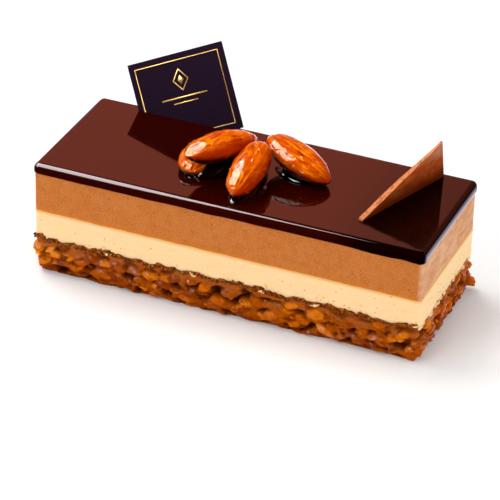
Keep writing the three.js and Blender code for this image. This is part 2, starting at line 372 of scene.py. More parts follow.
def rounded_block(name, low, high, radius, steps):
    """A block with rounded upright corners, still in edit mode."""
    deselect_all()
    bpy.ops.mesh.primitive_cube_add(size=1, location=(low + high) / 2, scale=high - low)
    block = bpy.context.object
    block.name = name
    bpy.ops.object.transform_apply(location=True, rotation=False, scale=True)
    start_edit(block, "EDGE")
    upright = 0.5 * (high.z - low.z)
    pick(block, "edges", lambda edge: abs(edge.verts[0].co.z - edge.verts[1].co.z) > upright)
    bpy.ops.mesh.bevel(offset=radius, segments=steps, affect="EDGES")
    return block


def layer_block(name, low, high, sizes):
    """A layer of the bar with rounded upright corners and an even, fine mesh on its sides."""
    block = rounded_block(name, low, high, sizes.corner, CORNER_STEPS)
    bpy.ops.mesh.select_mode(type="FACE")
    for axis in range(3):
        reach = (high[axis] - low[axis]) - (2 * sizes.corner if axis < 2 else 0)
        cuts = round(reach / sizes.layer_step)
        for cut in range(1, cuts):
            place = (high + low) / 2
            place[axis] += reach * (cut / cuts - 0.5)
            normal = [float(axis == other) for other in range(3)]
            pick(block, "faces", lambda face: abs(face.normal.z) < 0.5)
            bpy.ops.mesh.bisect(plane_co=place, plane_no=normal)
    end_edit()
    apply_modifier(block, "SUBSURF", subdivision_type="SIMPLE", levels=2, render_levels=2)
    return block


def lump_shapes(detail):
    """Corners of a unit ball and its triangles, as the start of every nut, flake and crumb."""
    deselect_all()
    bpy.ops.mesh.primitive_ico_sphere_add(subdivisions=detail, radius=1)
    ball = bpy.context.object
    corners = read_points(ball)
    triangles = np.array([list(face.vertices) for face in ball.data.polygons])
    mesh = ball.data
    bpy.data.objects.remove(ball)
    bpy.data.meshes.remove(mesh)
    return corners, triangles


# Shares of a lump's radius: how far out its facets are cut, and how large its bumps are
FACET_REACH = (0.55, 0.9)
BROAD_BUMPS = (0.8, 0.8, 0.8)
FINE_BUMPS = (0.3, 0.3, 0.3)
BUMP_SEEDS = (0, 50)


def chopped(corners, draws, facets, uneven):
    """A ball with flat facets cut off it and a bumpy skin, as a chopped nut has."""
    shape = np.ones(len(corners))
    for _ in range(facets):
        way = draws.normal(size=3)
        way /= np.linalg.norm(way)
        reach = corners @ way
        limit = draws.uniform(*FACET_REACH)
        shape = np.where(reach * shape > limit, limit / np.maximum(reach, TINY), shape)
    seed = draws.uniform(*BUMP_SEEDS)
    bumps = ripple(corners, BROAD_BUMPS, seed) + 0.6 * ripple(corners, FINE_BUMPS, seed)
    return corners * (shape * (1 + uneven * bumps))[:, None]


def lumps_piece(name, lumps, detail, draws, facets=5, uneven=0.16):
    """One piece of many lumps, each a (centre, three half-axes as columns, tone) of its own."""
    corners, triangles = lump_shapes(detail)
    points, faces, tones = [], [], []
    for index, (centre, axes, tone) in enumerate(lumps):
        points.append(chopped(corners, draws, facets, uneven) @ np.array(axes).T + np.array(centre))
        faces.append(triangles + index * len(corners))
        tones.append(np.full(len(corners), tone))
    mesh = bpy.data.meshes.new(name)
    mesh.from_pydata(np.concatenate(points).tolist(), [], np.concatenate(faces).tolist())
    piece = bpy.data.objects.new(name, mesh)
    bpy.context.scene.collection.objects.link(piece)
    write_attribute(piece, "tone", np.concatenate(tones))
    return piece


def side_axes(along, out, turn, wide, tall, deep):
    """Half-axes of a lump on the bar's side, turned in the side's own plane."""
    up = Vector((0, 0, 1))
    wide_way = along * math.cos(turn) + up * math.sin(turn)
    tall_way = up * math.cos(turn) - along * math.sin(turn)
    return np.array([wide_way * wide, tall_way * tall, out * deep]).T


# Small tools for materials

def add_node(tree, kind, values=None, links=None, **settings):
    """Adds one node with its settings, its sockets' values and the sockets that feed it."""
    made = tree.nodes.new(kind)
    for name, value in settings.items():
        setattr(made, name, value)
    for socket, value in (values or {}).items():
        made.inputs[socket].default_value = value
    for socket, source in (links or {}).items():
        tree.links.new(source, made.inputs[socket])
    return made


def scale_for(millimetres):
    """Scale of a pattern whose features are that large."""
    return 1 / (millimetres * MM)


def new_finish(name, **values):
    """A material with its shader, its output and the object's own coordinates ready to link."""
    finish = bpy.data.materials.new(name)
    finish.use_nodes = True
    tree = finish.node_tree
    tree.nodes.clear()
    sockets = {socket.replace("_", " "): value for socket, value in values.items()}
    shader = add_node(tree, "ShaderNodeBsdfPrincipled", sockets)
    add_node(tree, "ShaderNodeOutputMaterial", links={"Surface": shader.outputs[0]})
    place = add_node(tree, "ShaderNodeTexCoord").outputs["Object"]
    return finish, tree, shader, place


def patches(tree, vector, millimetres, low, high, most=1.0, **noise_values):
    """Share from 0 to the most of a cloudy pattern whose clouds are that large."""
    values = {"Scale": scale_for(millimetres), "Detail": 4}
    values.update({name.title(): value for name, value in noise_values.items()})
    cloud = add_node(tree, "ShaderNodeTexNoise", values, {"Vector": vector})
    share = add_node(
        tree, "ShaderNodeMapRange", {"From Min": low, "From Max": high, "To Max": most},
        {"Value": cloud.outputs["Fac"]},
    )
    return share.outputs[0]


def share_of(tree, share):
    """A share from 0 to 1 as a socket: a name is read from the mesh, and a pair is multiplied."""
    if isinstance(share, str):
        return add_node(tree, "ShaderNodeAttribute", attribute_name=share).outputs["Fac"]
    if isinstance(share, tuple):
        links = {place: share_of(tree, part) for place, part in enumerate(share)}
        return add_node(tree, "ShaderNodeMath", links=links, operation="MULTIPLY").outputs[0]
    return share


# Sockets of a Mix node for colours: its share, the colour under, the colour over and its result
MIX_SHARE = 0
MIX_UNDER = 6
MIX_OVER = 7
MIX_RESULT = 2


def painted(tree, shader, ground, *coats):
    """Paints a surface with a ground colour and more colours over it, each by its own share."""
    under = None
    for share, coat in coats:
        values = {MIX_OVER: coat}
        links = {MIX_SHARE: share_of(tree, share)}
        if under:
            links[MIX_UNDER] = under
        else:
            values[MIX_UNDER] = ground
        under = add_node(tree, "ShaderNodeMix", values, links, data_type="RGBA").outputs[MIX_RESULT]
    tree.links.new(under, shader.inputs["Base Color"])


def rough_skin(tree, shader, vector, millimetres, strength, depth, *layers):
    """Fine relief on the base and any other layers, with the grains' size and depth in millimetres."""
    grit = add_node(
        tree, "ShaderNodeTexNoise", {"Scale": scale_for(millimetres), "Detail": 5, "Roughness": 0.65},
        {"Vector": vector},
    )
    bump = add_node(
        tree, "ShaderNodeBump", {"Strength": strength, "Distance": depth * MM},
        {"Height": grit.outputs["Fac"]},
    )
    for layer in ("Normal", *layers):
        tree.links.new(bump.outputs[0], shader.inputs[layer])


def set_caramel(colours):
    # Caramel poured over chopped nuts and broken when set: amber glass on nuts, satin paste, and painted
    # shade in the holes
    finish, tree, shader, place = new_finish(
        "Set nut caramel", Roughness=0.5, Specular_IOR_Level=0.0, Subsurface_Weight=0.4,
        Subsurface_Scale=1.0 * MM, Subsurface_Radius=(1.0, 0.4, 0.08), Coat_Roughness=0.04,
    )
    flat = add_node(tree, "ShaderNodeMapping", {"Scale": (1, 1, 2)}, {"Vector": place}).outputs[0]
    painted(
        tree, shader, colours.caramel, (patches(tree, flat, 3.0, 0.44, 0.6, distortion=0.6), colours.amber),
        ("paste", colours.paste), ("nut", colours.deep_nut), ("light_nut", colours.nut),
        ((patches(tree, place, 1.4, 0.5, 0.8), "nut"), colours.deep_nut), ("clear_nut", colours.clear_nut),
        ("hollow", colours.hollow_shade_and_fibre), ("rim", colours.crust),
        ((patches(tree, place, 0.6, 0.5, 0.62), "rim"), colours.rubbed_crust),
    )
    tree.links.new(patches(tree, place, 1.2, 0.47, 0.57, 0.42), shader.inputs["Coat Weight"])
    rough_skin(tree, shader, flat, 1.2, 0.9, 0.45, "Coat Normal")
    return finish


def candied_nut(colours):
    # Chopped nuts under clear hard caramel: amber with light inside, and small sharp glints
    finish, tree, shader, place = new_finish(
        "Candied nuts", Roughness=0.5, Specular_IOR_Level=0.0, Subsurface_Weight=0.45,
        Subsurface_Scale=1.2 * MM, Subsurface_Radius=(1.0, 0.4, 0.08), Coat_Roughness=0.04,
    )
    painted(
        tree, shader, colours.deep_nut, ("tone", colours.nut),
        (patches(tree, place, 1.4, 0.5, 0.8), colours.deep_nut),
    )
    tree.links.new(patches(tree, place, 1.0, 0.47, 0.57, 0.42), shader.inputs["Coat Weight"])
    rough_skin(tree, shader, place, 1.4, 0.7, 0.4, "Coat Normal")
    return finish


def scorched_crust(colours):
    # Thin scorched crust that broke along the praline's top: dark brown and dull, paler where it is rubbed
    finish, tree, shader, place = new_finish(
        "Scorched praline crust", Roughness=0.5, Specular_IOR_Level=0.0, Coat_Weight=0.04,
        Coat_Roughness=0.1,
    )
    painted(tree, shader, colours.crust, (patches(tree, place, 0.7, 0.48, 0.62), colours.rubbed_crust))
    rough_skin(tree, shader, place, 0.5, 0.6, 0.2)
    return finish


def broken_nut(colours):
    # Fresh broken faces of nuts: pale, dry and a little grainy
    finish, tree, shader, place = new_finish(
        "Broken nut", Roughness=0.6, Specular_IOR_Level=0.0, Subsurface_Weight=0.3, Subsurface_Scale=1 * MM
    )
    painted(tree, shader, colours.pale_nut, (patches(tree, place, 0.9, 0.45, 0.75), colours.clear_nut))
    return finish


def cream_crumb(colours):
    # Specks of caramel that the knife rubbed into the cream: thin, so the cream shows through
    finish, tree, shader, _ = new_finish("Rubbed caramel crumb", Roughness=0.6, Specular_IOR_Level=0.0)
    painted(tree, shader, colours.crumb, ("tone", colours.cream_smear))
    return finish


def set_cream(colours):
    # Whipped cream set with gelatine and cut with a warm knife: pale and soft, with faint level smears
    finish, tree, shader, place = new_finish(
        "Set cream", Roughness=0.5, Specular_IOR_Level=0.0, Subsurface_Weight=0.3,
        Subsurface_Scale=1.5 * MM, Subsurface_Radius=(1.0, 0.6, 0.3),
    )
    level = add_node(tree, "ShaderNodeMapping", {"Scale": (0.2, 0.2, 1)}, {"Vector": place}).outputs[0]
    painted(
        tree, shader, colours.cream, (patches(tree, level, 0.9, 0.45, 0.95), colours.cream_smear),
        ("seam", colours.cream_seam),
    )
    rough_skin(tree, shader, level, 0.9, 0.2, 0.2)
    return finish


def nut_mousse(colours):
    # Airy mousse with ground hazelnuts, cut through: dull, finely pitted, with dark specks of nut skin, and
    # a pale streaky film with painted sheen on its right end
    finish, tree, shader, place = new_finish(
        "Hazelnut mousse", Roughness=0.6, Specular_IOR_Level=0.0, Subsurface_Weight=0.1,
        Subsurface_Scale=0.6 * MM, Subsurface_Radius=(1.0, 0.5, 0.25),
    )
    specks = add_node(tree, "ShaderNodeTexVoronoi", {"Scale": scale_for(1.2)}, {"Vector": place})
    dot = add_node(
        tree, "ShaderNodeMapRange", {"From Min": 0.26, "From Max": 0.1},
        {"Value": specks.outputs["Distance"]},
    )
    chosen = add_node(tree, "ShaderNodeSeparateColor", links={"Color": specks.outputs["Color"]})
    sparse = add_node(
        tree, "ShaderNodeMapRange", {"From Min": 0.55, "From Max": 1.0}, {"Value": chosen.outputs[0]}
    )
    drag = add_node(tree, "ShaderNodeMapping", {"Scale": (1, 0.35, 1)}, {"Vector": place}).outputs[0]
    painted(
        tree, shader, colours.mousse, (patches(tree, place, 2.4, 0.4, 0.7), colours.mousse_dark),
        (patches(tree, place, 0.45, 0.46, 0.8), colours.mousse_pale),
        ((dot.outputs[0], sparse.outputs[0]), colours.mousse_speck), ("seam", colours.mousse_seam),
        (("frost", patches(tree, drag, 1.6, 0.1, 0.85)), colours.mousse_frost_and_sheen),
    )
    rough_skin(tree, shader, place, 0.4, 0.5, 0.15)
    return finish


def mirror_glaze(colours):
    # Cocoa glaze poured warm and set: a dark red-brown body under a mirror skin, with a painted shadow of
    # the shard over its right end
    finish, tree, shader, place = new_finish(
        "Chocolate mirror glaze", IOR=1.27, Specular_Tint=(1.0, 0.86, 0.88, 1.0)
    )
    painted(tree, shader, colours.glaze, ("deep", colours.glaze_shard_shadow))
    film = add_node(tree, "ShaderNodeTexNoise", {"Scale": scale_for(6), "Detail": 3}, {"Vector": place})
    gloss = add_node(
        tree, "ShaderNodeMapRange", {"To Min": 0.03, "To Max": 0.08}, {"Value": film.outputs["Fac"]}
    )
    tree.links.new(gloss.outputs[0], shader.inputs["Roughness"])
    return finish


def candied_almond(colours):
    # Almond in its skin under clear amber caramel, which tints its shine: furrows, with painted shade on the
    # flanks that face away from the light and underneath
    finish, tree, shader, _ = new_finish(
        "Caramelised almond", Roughness=0.03, Specular_IOR_Level=0.14,
        Specular_Tint=(1.0, 0.95, 0.74, 1.0), Subsurface_Weight=0.25, Subsurface_Scale=1.0 * MM,
        Subsurface_Radius=(1.0, 0.3, 0.05),
    )
    grain = add_node(tree, "ShaderNodeAttribute", attribute_name="grain").outputs["Vector"]
    streak_scale = GRAIN_LENGTH * scale_for(3.75)
    streak = add_node(
        tree, "ShaderNodeTexNoise", {"Scale": streak_scale, "Detail": 5, "Roughness": 0.6}, {"Vector": grain}
    ).outputs["Fac"]
    furrow = add_node(tree, "ShaderNodeMapRange", {"From Min": 0.52, "From Max": 0.33}, {"Value": streak})
    crest = add_node(tree, "ShaderNodeMapRange", {"From Min": 0.48, "From Max": 0.72}, {"Value": streak})
    painted(
        tree, shader, colours.almond, (furrow.outputs[0], colours.almond_dark),
        (crest.outputs[0], colours.almond_light), ("cover", colours.almond),
        ("low", colours.almond_flank_shade), ("under", colours.almond_under),
    )
    bump = add_node(tree, "ShaderNodeBump", {"Strength": 0.08, "Distance": 0.2 * MM}, {"Height": streak})
    tree.links.new(bump.outputs[0], shader.inputs["Normal"])
    return finish


def dark_syrup(colours):
    # Caramel that ran off the almonds and set on the glaze: dark, clear and wet, and so near black that its
    # pools also stand as painted shade under the almonds
    finish, tree, shader, place = new_finish(
        "Dark caramel syrup", Base_Color=colours.syrup, Roughness=0.03, IOR=1.27
    )
    rough_skin(tree, shader, place, 3, 0.15, 0.2)
    return finish


def milk_chocolate(colours):
    # Tempered milk chocolate, cast thin and snapped: satin faces with faint clouds, pale rough broken edges,
    # painted shade low on the face and a pale bloom with painted sheen up high
    finish, tree, shader, place = new_finish(
        "Milk chocolate", Roughness=0.4, Specular_IOR_Level=0.0, Coat_Weight=0.1, Coat_Roughness=0.3
    )
    painted(
        tree, shader, colours.chocolate, (patches(tree, place, 4.5, 0.42, 0.75), colours.chocolate_pale),
        (patches(tree, place, 2.2, 0.5, 0.72, 0.55), colours.chocolate_dark_and_foot_shade),
        (("bloom", patches(tree, place, 2.5, 0.3, 0.7)), colours.chocolate_bloom_and_sheen),
        ("foot", colours.chocolate_dark_and_foot_shade), ("snap", colours.chocolate_snap),
        (("snap", patches(tree, place, 0.9, 0.48, 0.66)), colours.chocolate_pale),
    )
    rough_skin(tree, shader, place, 0.8, 0.25, 0.1)
    return finish


def coated_card(colours):
    # Dark dyed card with a soft-touch coating: matt, with a trace of its fibres
    finish, tree, shader, place = new_finish("Coated card", Roughness=0.6, Specular_IOR_Level=0.0)
    painted(tree, shader, colours.card, (patches(tree, place, 0.5, 0.4, 1.2), colours.hollow_shade_and_fibre))
    rough_skin(tree, shader, place, 0.5, 0.1, 0.05)
    return finish


def gold_foil(colours):
    # Gold foil stamped on the card: a thin dull film, a little uneven from the card under it
    finish, tree, shader, place = new_finish("Gold foil", Base_Color=colours.foil, Metallic=0.3)
    press = add_node(tree, "ShaderNodeTexNoise", {"Scale": scale_for(1), "Detail": 3}, {"Vector": place})
    gloss = add_node(
        tree, "ShaderNodeMapRange", {"To Min": 0.45, "To Max": 0.6}, {"Value": press.outputs["Fac"]}
    )
    tree.links.new(gloss.outputs[0], shader.inputs["Roughness"])
    return finish


def white_floor(colours):
    # Matt white paint on a studio floor: an even pale ground without shine
    return new_finish(
        "White studio floor", Base_Color=colours.floor, Roughness=1.0, Specular_IOR_Level=0.0
    )[0]


# The praline base

# Nut chunks, drawn as the solid base draws them
CHUNK_COUNT = 112
CHUNK_ROWS = 3
CHUNK_SEED = 417
CHUNK_WANDER = 0.8
CHUNK_SMALLNESS = 1.4
CHUNK_RADII = (1.2 * MM, 2.2 * MM)
CHUNK_SINK = 0.45
CHUNK_FLOOR_GAP = 0.5 * MM
CHUNK_TOP_GAP = 1.4 * MM
CHUNK_SHAPE_DRAWS = 3
STREAM_STEP = 0x6D2B79F5
WORD = 0xFFFFFFFF
PRALINE_SEED = 31
BILLOW_MEAN = 0.25

# Nuts: widths, heights and swell as shares of their radius, and turns in radians
CHUNK_WIDTHS = (1.2, 1.9)
CHUNK_HEIGHTS = (0.65, 0.95)
CHUNK_SWELL = 1.02
CHUNK_TURN = 0.5
NUT_WIDTHS = (1.1, 1.8)
NUT_HEIGHT = 0.8
NUT_TURN = 0.7
NUT_REACH = 1.3
NUT_EDGE = (0.9, 1.2)

# Nuts: tones, and a painted glow of light shining through those near the front left corner
NUT_TONES = (0, 1.4)
CORNER_PAINTED_GLOW = 1.2
PAINTED_GLOW_REACH = 8 * MM

# Radii and sinks in millimetres of the small nuts, and the gap that they keep from the top line
NUT_RADII = (0.8, 1.4)
NUT_SINKS = (0.2, 1.0)
RIM_GAP = 1.6 * MM


def chunk_draws(seed):
    """The stream of numbers from 0 to 1 that the solids' nut chunks are drawn from."""
    state = seed
    while True:
        state = (state + STREAM_STEP) & WORD
        mixed = ((state ^ (state >> 15)) * (1 | state)) & WORD
        mixed = (mixed + ((mixed ^ (mixed >> 7)) * (61 | mixed)) & WORD) ^ mixed
        yield ((mixed ^ (mixed >> 14)) & WORD) / (WORD + 1)


def chunk_places(base_height):
    """Distance round the bar, height and radius of each nut chunk that the solid base has."""
    draw = chunk_draws(CHUNK_SEED)
    for index in range(CHUNK_COUNT):
        along = ((index + CHUNK_WANDER * next(draw)) / CHUNK_COUNT) % 1
        radius = CHUNK_RADII[0] + (CHUNK_RADII[1] - CHUNK_RADII[0]) * next(draw) ** CHUNK_SMALLNESS
        lowest = radius + CHUNK_FLOOR_GAP
        highest = base_height - CHUNK_TOP_GAP - radius
        share = (index % CHUNK_ROWS + next(draw)) / CHUNK_ROWS
        for _ in range(CHUNK_SHAPE_DRAWS):
            next(draw)
        yield 2 * HALF_LENGTH + along * OUTLINE, lowest + (highest - lowest) * share, radius


def thin_flats(piece, inset):
    """Replaces the fine mesh of the hidden top and bottom by one face each."""
    start_edit(piece, "FACE")

    def inside(face):
        centre = face.calc_center_median()
        return abs(centre.x) < HALF_LENGTH - inset and abs(centre.y) < HALF_WIDTH - inset

    pick(piece, "faces", inside)
    bpy.ops.mesh.delete(type="FACE")
    bpy.ops.mesh.select_mode(type="EDGE")
    bpy.ops.mesh.select_all(action="DESELECT")
    bpy.ops.mesh.select_non_manifold()
    bpy.ops.mesh.fill_holes(sides=0)
    end_edit()


def billow(points, sizes, seed):
    """Rounded lumps with sharp creases between them, about zero on the whole."""
    return np.abs(relief(points, sizes, seed)) - BILLOW_MEAN


def nut_tone(place, draws):
    """How light a nut is: the ones at the front left corner get a painted glow of light shining through."""
    corner = math.hypot(place[0] + HALF_LENGTH, place[1] + HALF_WIDTH)
    return draws.uniform(*NUT_TONES) + CORNER_PAINTED_GLOW * max(0.0, 1 - corner / PAINTED_GLOW_REACH)


def nut_places(sizes, draws):
    """Nuts on the chunks of the solid base, and smaller ones pressed in between them."""
    nuts = []
    for distance, height, radius in chunk_places(sizes.base_height):
        foot, out, along = outline_place(distance)
        centre = foot - out * CHUNK_SINK * radius + Vector((0, 0, height))
        wide = radius * draws.uniform(*CHUNK_WIDTHS)
        tall = radius * draws.uniform(*CHUNK_HEIGHTS)
        turn = draws.uniform(-CHUNK_TURN, CHUNK_TURN)
        axes = side_axes(along, out, turn, wide, tall, radius * CHUNK_SWELL)
        nuts.append((np.array(centre), axes, nut_tone(centre, draws)))
    for _ in range(sizes.nut_count):
        foot, out, along = outline_place(draws.uniform(0, OUTLINE))
        radius = draws.uniform(*NUT_RADII) * MM
        height = draws.uniform(radius, sizes.base_height - RIM_GAP - radius)
        centre = foot - out * draws.uniform(*NUT_SINKS) * MM + Vector((0, 0, height))
        wide = radius * draws.uniform(*NUT_WIDTHS)
        turn = draws.uniform(-NUT_TURN, NUT_TURN)
        axes = side_axes(along, out, turn, wide, radius * NUT_HEIGHT, radius)
        nuts.append((np.array(centre), axes, nut_tone(centre, draws)))
    return nuts


def nut_shares(points, nuts):
    """How far each point belongs to a nut, and how light that nut is."""
    share, tone = np.zeros(len(points)), np.zeros(len(points))
    for centre, axes, own_tone in nuts:
        reach = NUT_REACH * np.linalg.norm(axes, axis=0).max()
        near = np.flatnonzero(np.abs(points - centre).max(axis=1) < reach)
        depth = np.linalg.norm(np.linalg.solve(axes, (points[near] - centre).T), axis=0)
        own = 1 - ease(depth, *NUT_EDGE)
        better = own > share[near]
        share[near[better]] = own[better]
        tone[near[better]] = own_tone
    return share, tone


# Relief of the base: where it is calm, where the paste and the rim end, and how far each of them wanders
FLAT_INSET = 3.2 * MM
BEND = 1.5 * MM
CALM_TOP = (0.6 * MM, 2.4 * MM)
CALM_FOOT = (0, 0.8 * MM)
HOLE_EDGE = (0.02, 0.3)
PASTE_BAND = (3 * MM, 5 * MM)
PASTE_WANDER = 3 * MM
RIM_WANDER = 0.5 * MM
RIM_SWELL = 0.3 * MM
RIM_CRUMBS = 0.4 * MM
RIM_SHARES = (0.7, 1.2)
CUT_END = (HALF_LENGTH - 0.5 * MM, HALF_LENGTH - 3 * MM)

# Shares from 0 to 1: how far paste keeps off nuts and fills holes, and how smooth nuts and the top line are
PASTE_OFF_NUTS = 0.85
PASTE_FILL = 0.5
NUT_CALM = 0.8
LINE_CALM = 0.65
PASTE_PAINT = 0.85
HOLLOW_SHADE_PAINT = 0.95


def praline_core(sizes, draws):
    """The solid base with nuts fused into its caramel, hollows with painted shade, paste and a scorched rim.
    """
    core = node_copy("praline_base", "praline")
    nuts = nut_places(sizes, draws)
    loose_nuts = lumps_piece("nuts", nuts, 2, draws)
    join([core, loose_nuts])
    remesh(core, sizes.praline_grain)
    thin_flats(core, FLAT_INSET)
    apply_modifier(core, "SMOOTH", factor=0.5, iterations=3)
    points = read_points(core)
    nut, tone = nut_shares(points, nuts)
    bent = points + np.outer(relief(points, (7, 7, 5), 10), (BEND, BEND, BEND))
    below_rim = ragged_line(sizes.base_height)(around(points)) - points[:, 2]
    calm = ease(below_rim, *CALM_TOP) * ease(points[:, 2], *CALM_FOOT)
    hollow = ease(relief(bent, (4.6, 4.6, 2.2), 14), *HOLE_EDGE) * calm * (1 - nut)
    level = below_rim + PASTE_WANDER * relief(points, (6, 6, 3), 15)
    paste = (1 - ease(level, *PASTE_BAND)) * (1 - PASTE_OFF_NUTS * nut)
    hollow *= 1 - PASTE_FILL * paste
    crags = 2 * billow(bent, (5, 5, 2.2), 11)
    crags += 1.1 * billow(bent, (2.2, 2.2, 1.2), 12)
    crags *= 1 - NUT_CALM * nut
    crags += 0.45 * billow(points, (0.9, 0.9, 0.6), 13)
    crumbs = relief(points, (0.9, 0.9, 0.7), 17)
    ragged = below_rim + RIM_WANDER * relief(points, (1.6, 1.6, LEVEL), 18)
    rim_low, rim_high = (share * sizes.rim_height for share in RIM_SHARES)
    rim = (1 - ease(ragged, rim_low, rim_high)) * ease(points[:, 0], *CUT_END)
    swell = (1 - LINE_CALM + LINE_CALM * calm) * (1 - PASTE_FILL * paste) * crags
    depth = swell * sizes.crag_depth - hollow * sizes.hollow_depth
    depth += rim * (RIM_SWELL + RIM_CRUMBS * crumbs)
    points[:, :2] += outward(points) * depth[:, None]
    write_points(core, points)
    write_attribute(core, "paste", PASTE_PAINT * paste)
    # Painted shade in the hollows
    write_attribute(core, "hollow", HOLLOW_SHADE_PAINT * hollow)
    write_attribute(core, "rim", rim)
    write_attribute(core, "nut", nut)
    write_attribute(core, "light_nut", nut * np.clip(tone, 0, 1))
    write_attribute(core, "clear_nut", nut * np.clip(tone - 1, 0, 1))
    return core


# Splinters: radii in millimetres, shares of the radius, and the angle that keeps their edges sharp
SPLINTER_RADII = (0.35, 0.8)
SPLINTER_WIDTHS = (1.1, 2.0)
SPLINTER_HEIGHT = 0.7
SPLINTER_DEPTH = 0.9
SPLINTER_SINK = 0.3
SPLINTER_TURN = 0.7
SPLINTER_TONES = (0.2, 1)
SPLINTER_LOWEST = 0.8 * MM
SPLINTER_CREASE = math.radians(32)
RAY_START = 10 * MM


def nut_splinters(core, sizes, draws):
    """Small splinters of nut stuck on the caramel."""
    tree = BVHTree.FromObject(core, bpy.context.evaluated_depsgraph_get())
    splinters = []
    for _ in range(sizes.splinter_count):
        foot, out, along = outline_place(draws.uniform(0, OUTLINE))
        height = draws.uniform(SPLINTER_LOWEST, sizes.base_height - RIM_GAP)
        hit = tree.ray_cast(foot + out * RAY_START + Vector((0, 0, height)), -out)[0]
        radius = draws.uniform(*SPLINTER_RADII) * MM
        wide = radius * draws.uniform(*SPLINTER_WIDTHS)
        turn = draws.uniform(-SPLINTER_TURN, SPLINTER_TURN)
        axes = side_axes(along, out, turn, wide, radius * SPLINTER_HEIGHT, radius * SPLINTER_DEPTH)
        splinters.append((hit - out * SPLINTER_SINK * radius, axes, draws.uniform(*SPLINTER_TONES)))
    return lumps_piece("nut_splinters", splinters, 2, draws)


# Flakes and pale bits: widths, heights and drops in millimetres, a large one's share more, and turns
FLAKE_WIDTH = 0.45
FLAKE_WIDER = 1.45
FLAKE_HEIGHT = 0.28
FLAKE_TALLER = 0.34
FLAKE_DEPTH = 0.55 * MM
FLAKE_RISES = (-1.1, 0.3)
FLAKE_OFFSET = 0.2
FLAKE_TURN = 0.4
BIT_WIDTHS = (0.7, 2.0)
BIT_HEIGHT = 0.3 * MM
BIT_TALLER = 0.25
BIT_DEPTH = 0.6 * MM
BIT_DROPS = (0.5, 1.1)
BIT_SINK = 0.2
BIT_TURN = 0.3


def rim_flakes(sizes, draws):
    """Scorched flakes along the ragged line, and pale broken nuts in the notches under it."""
    line = ragged_line(sizes.base_height)
    flakes, bits = [], []
    for index in range(sizes.flake_count):
        distance = (index + draws.uniform(0, 1)) / sizes.flake_count * OUTLINE
        foot, out, along = outline_place(distance)
        size = draws.uniform(0, 1) ** 2
        wide = (FLAKE_WIDTH + FLAKE_WIDER * size) * MM
        tall = (FLAKE_HEIGHT + FLAKE_TALLER * size) * MM
        height = float(line(distance % OUTLINE)) + draws.uniform(*FLAKE_RISES) * MM
        axes = side_axes(along, out, draws.uniform(-FLAKE_TURN, FLAKE_TURN), wide, tall, FLAKE_DEPTH)
        centre = foot + out * draws.uniform(-FLAKE_OFFSET, FLAKE_OFFSET) * MM + Vector((0, 0, height))
        at_right_end = out.x > 0.5
        if not at_right_end:
            flakes.append((centre, axes, 0.0))
    for _ in range(sizes.bit_count):
        distance = draws.uniform(0, OUTLINE)
        foot, out, along = outline_place(distance)
        height = float(line(distance)) - draws.uniform(*BIT_DROPS) * MM
        wide = draws.uniform(*BIT_WIDTHS) * MM
        tall = BIT_HEIGHT + BIT_TALLER * wide
        axes = side_axes(along, out, draws.uniform(-BIT_TURN, BIT_TURN), wide, tall, BIT_DEPTH)
        bits.append((foot - out * BIT_SINK * MM + Vector((0, 0, height)), axes, 0.0))
    rim_piece = lumps_piece("rim_flakes", flakes, 1, draws, facets=3, uneven=0.3)
    bit_piece = lumps_piece("pale_bits", bits, 3, draws, facets=4, uneven=0.6)
    return rim_piece, bit_piece


# Crumbs on the cream: widths in millimetres, the height as a share, and where they lie
CRUMB_WIDTHS = (0.14, 0.45)
CRUMB_HEIGHT = 0.6
CRUMB_DEPTH = 0.12 * MM
CRUMB_TURN = 0.3
CRUMB_LOWNESS = 2.2
CRUMB_LOWEST = 0.8 * MM
CRUMB_TOP_GAP = 1.2 * MM


def cream_crumbs(sizes, draws):
    """Crumbs that the knife dragged on to the cream, most of them near the praline."""
    crumbs = []
    for _ in range(sizes.crumb_count):
        foot, out, along = outline_place(draws.uniform(0, OUTLINE))
        rise = draws.uniform(0, 1) ** CRUMB_LOWNESS
        height = sizes.base_height + CRUMB_LOWEST
        height += rise * (CREAM_HIGH.z - sizes.base_height - CRUMB_TOP_GAP)
        wide = draws.uniform(*CRUMB_WIDTHS) * MM
        turn = draws.uniform(-CRUMB_TURN, CRUMB_TURN)
        axes = side_axes(along, out, turn, wide, wide * CRUMB_HEIGHT, CRUMB_DEPTH)
        crumbs.append((foot + Vector((0, 0, height)), axes, draws.uniform(0, 1)))
    return lumps_piece("cream_crumbs", crumbs, 1, draws, facets=2)


# Slivers of cream: places in half widths of the bar, sizes in millimetres, and the drop as a share
SLIVER_PLACES = (-0.1, 2)
SLIVER_WIDTHS = (0.4, 1.1)
SLIVER_HEIGHTS = (0.3, 0.9)
SLIVER_DEPTH = 0.4 * MM
SLIVER_DROP = 0.6
SLIVER_SINK = 0.1
SLIVER_TURN = 0.35


def cream_fringe(sizes, draws):
    """Slivers of cream that the knife dragged down over the praline's right end."""
    line = ragged_line(sizes.base_height)
    slivers = []
    for _ in range(sizes.fringe_count):
        distance = 2 * HALF_LENGTH + draws.uniform(*SLIVER_PLACES) * HALF_WIDTH
        foot, out, along = outline_place(distance)
        tall = draws.uniform(*SLIVER_HEIGHTS) * MM
        height = float(line(distance % OUTLINE)) - SLIVER_DROP * tall
        turn = draws.uniform(-SLIVER_TURN, SLIVER_TURN)
        wide = draws.uniform(*SLIVER_WIDTHS) * MM
        axes = side_axes(along, out, turn, wide, tall, SLIVER_DEPTH)
        slivers.append((foot - out * SLIVER_SINK * MM + Vector((0, 0, height)), axes, 0.0))
    return lumps_piece("cream_fringe", slivers, 2, draws, facets=2, uneven=0.3)


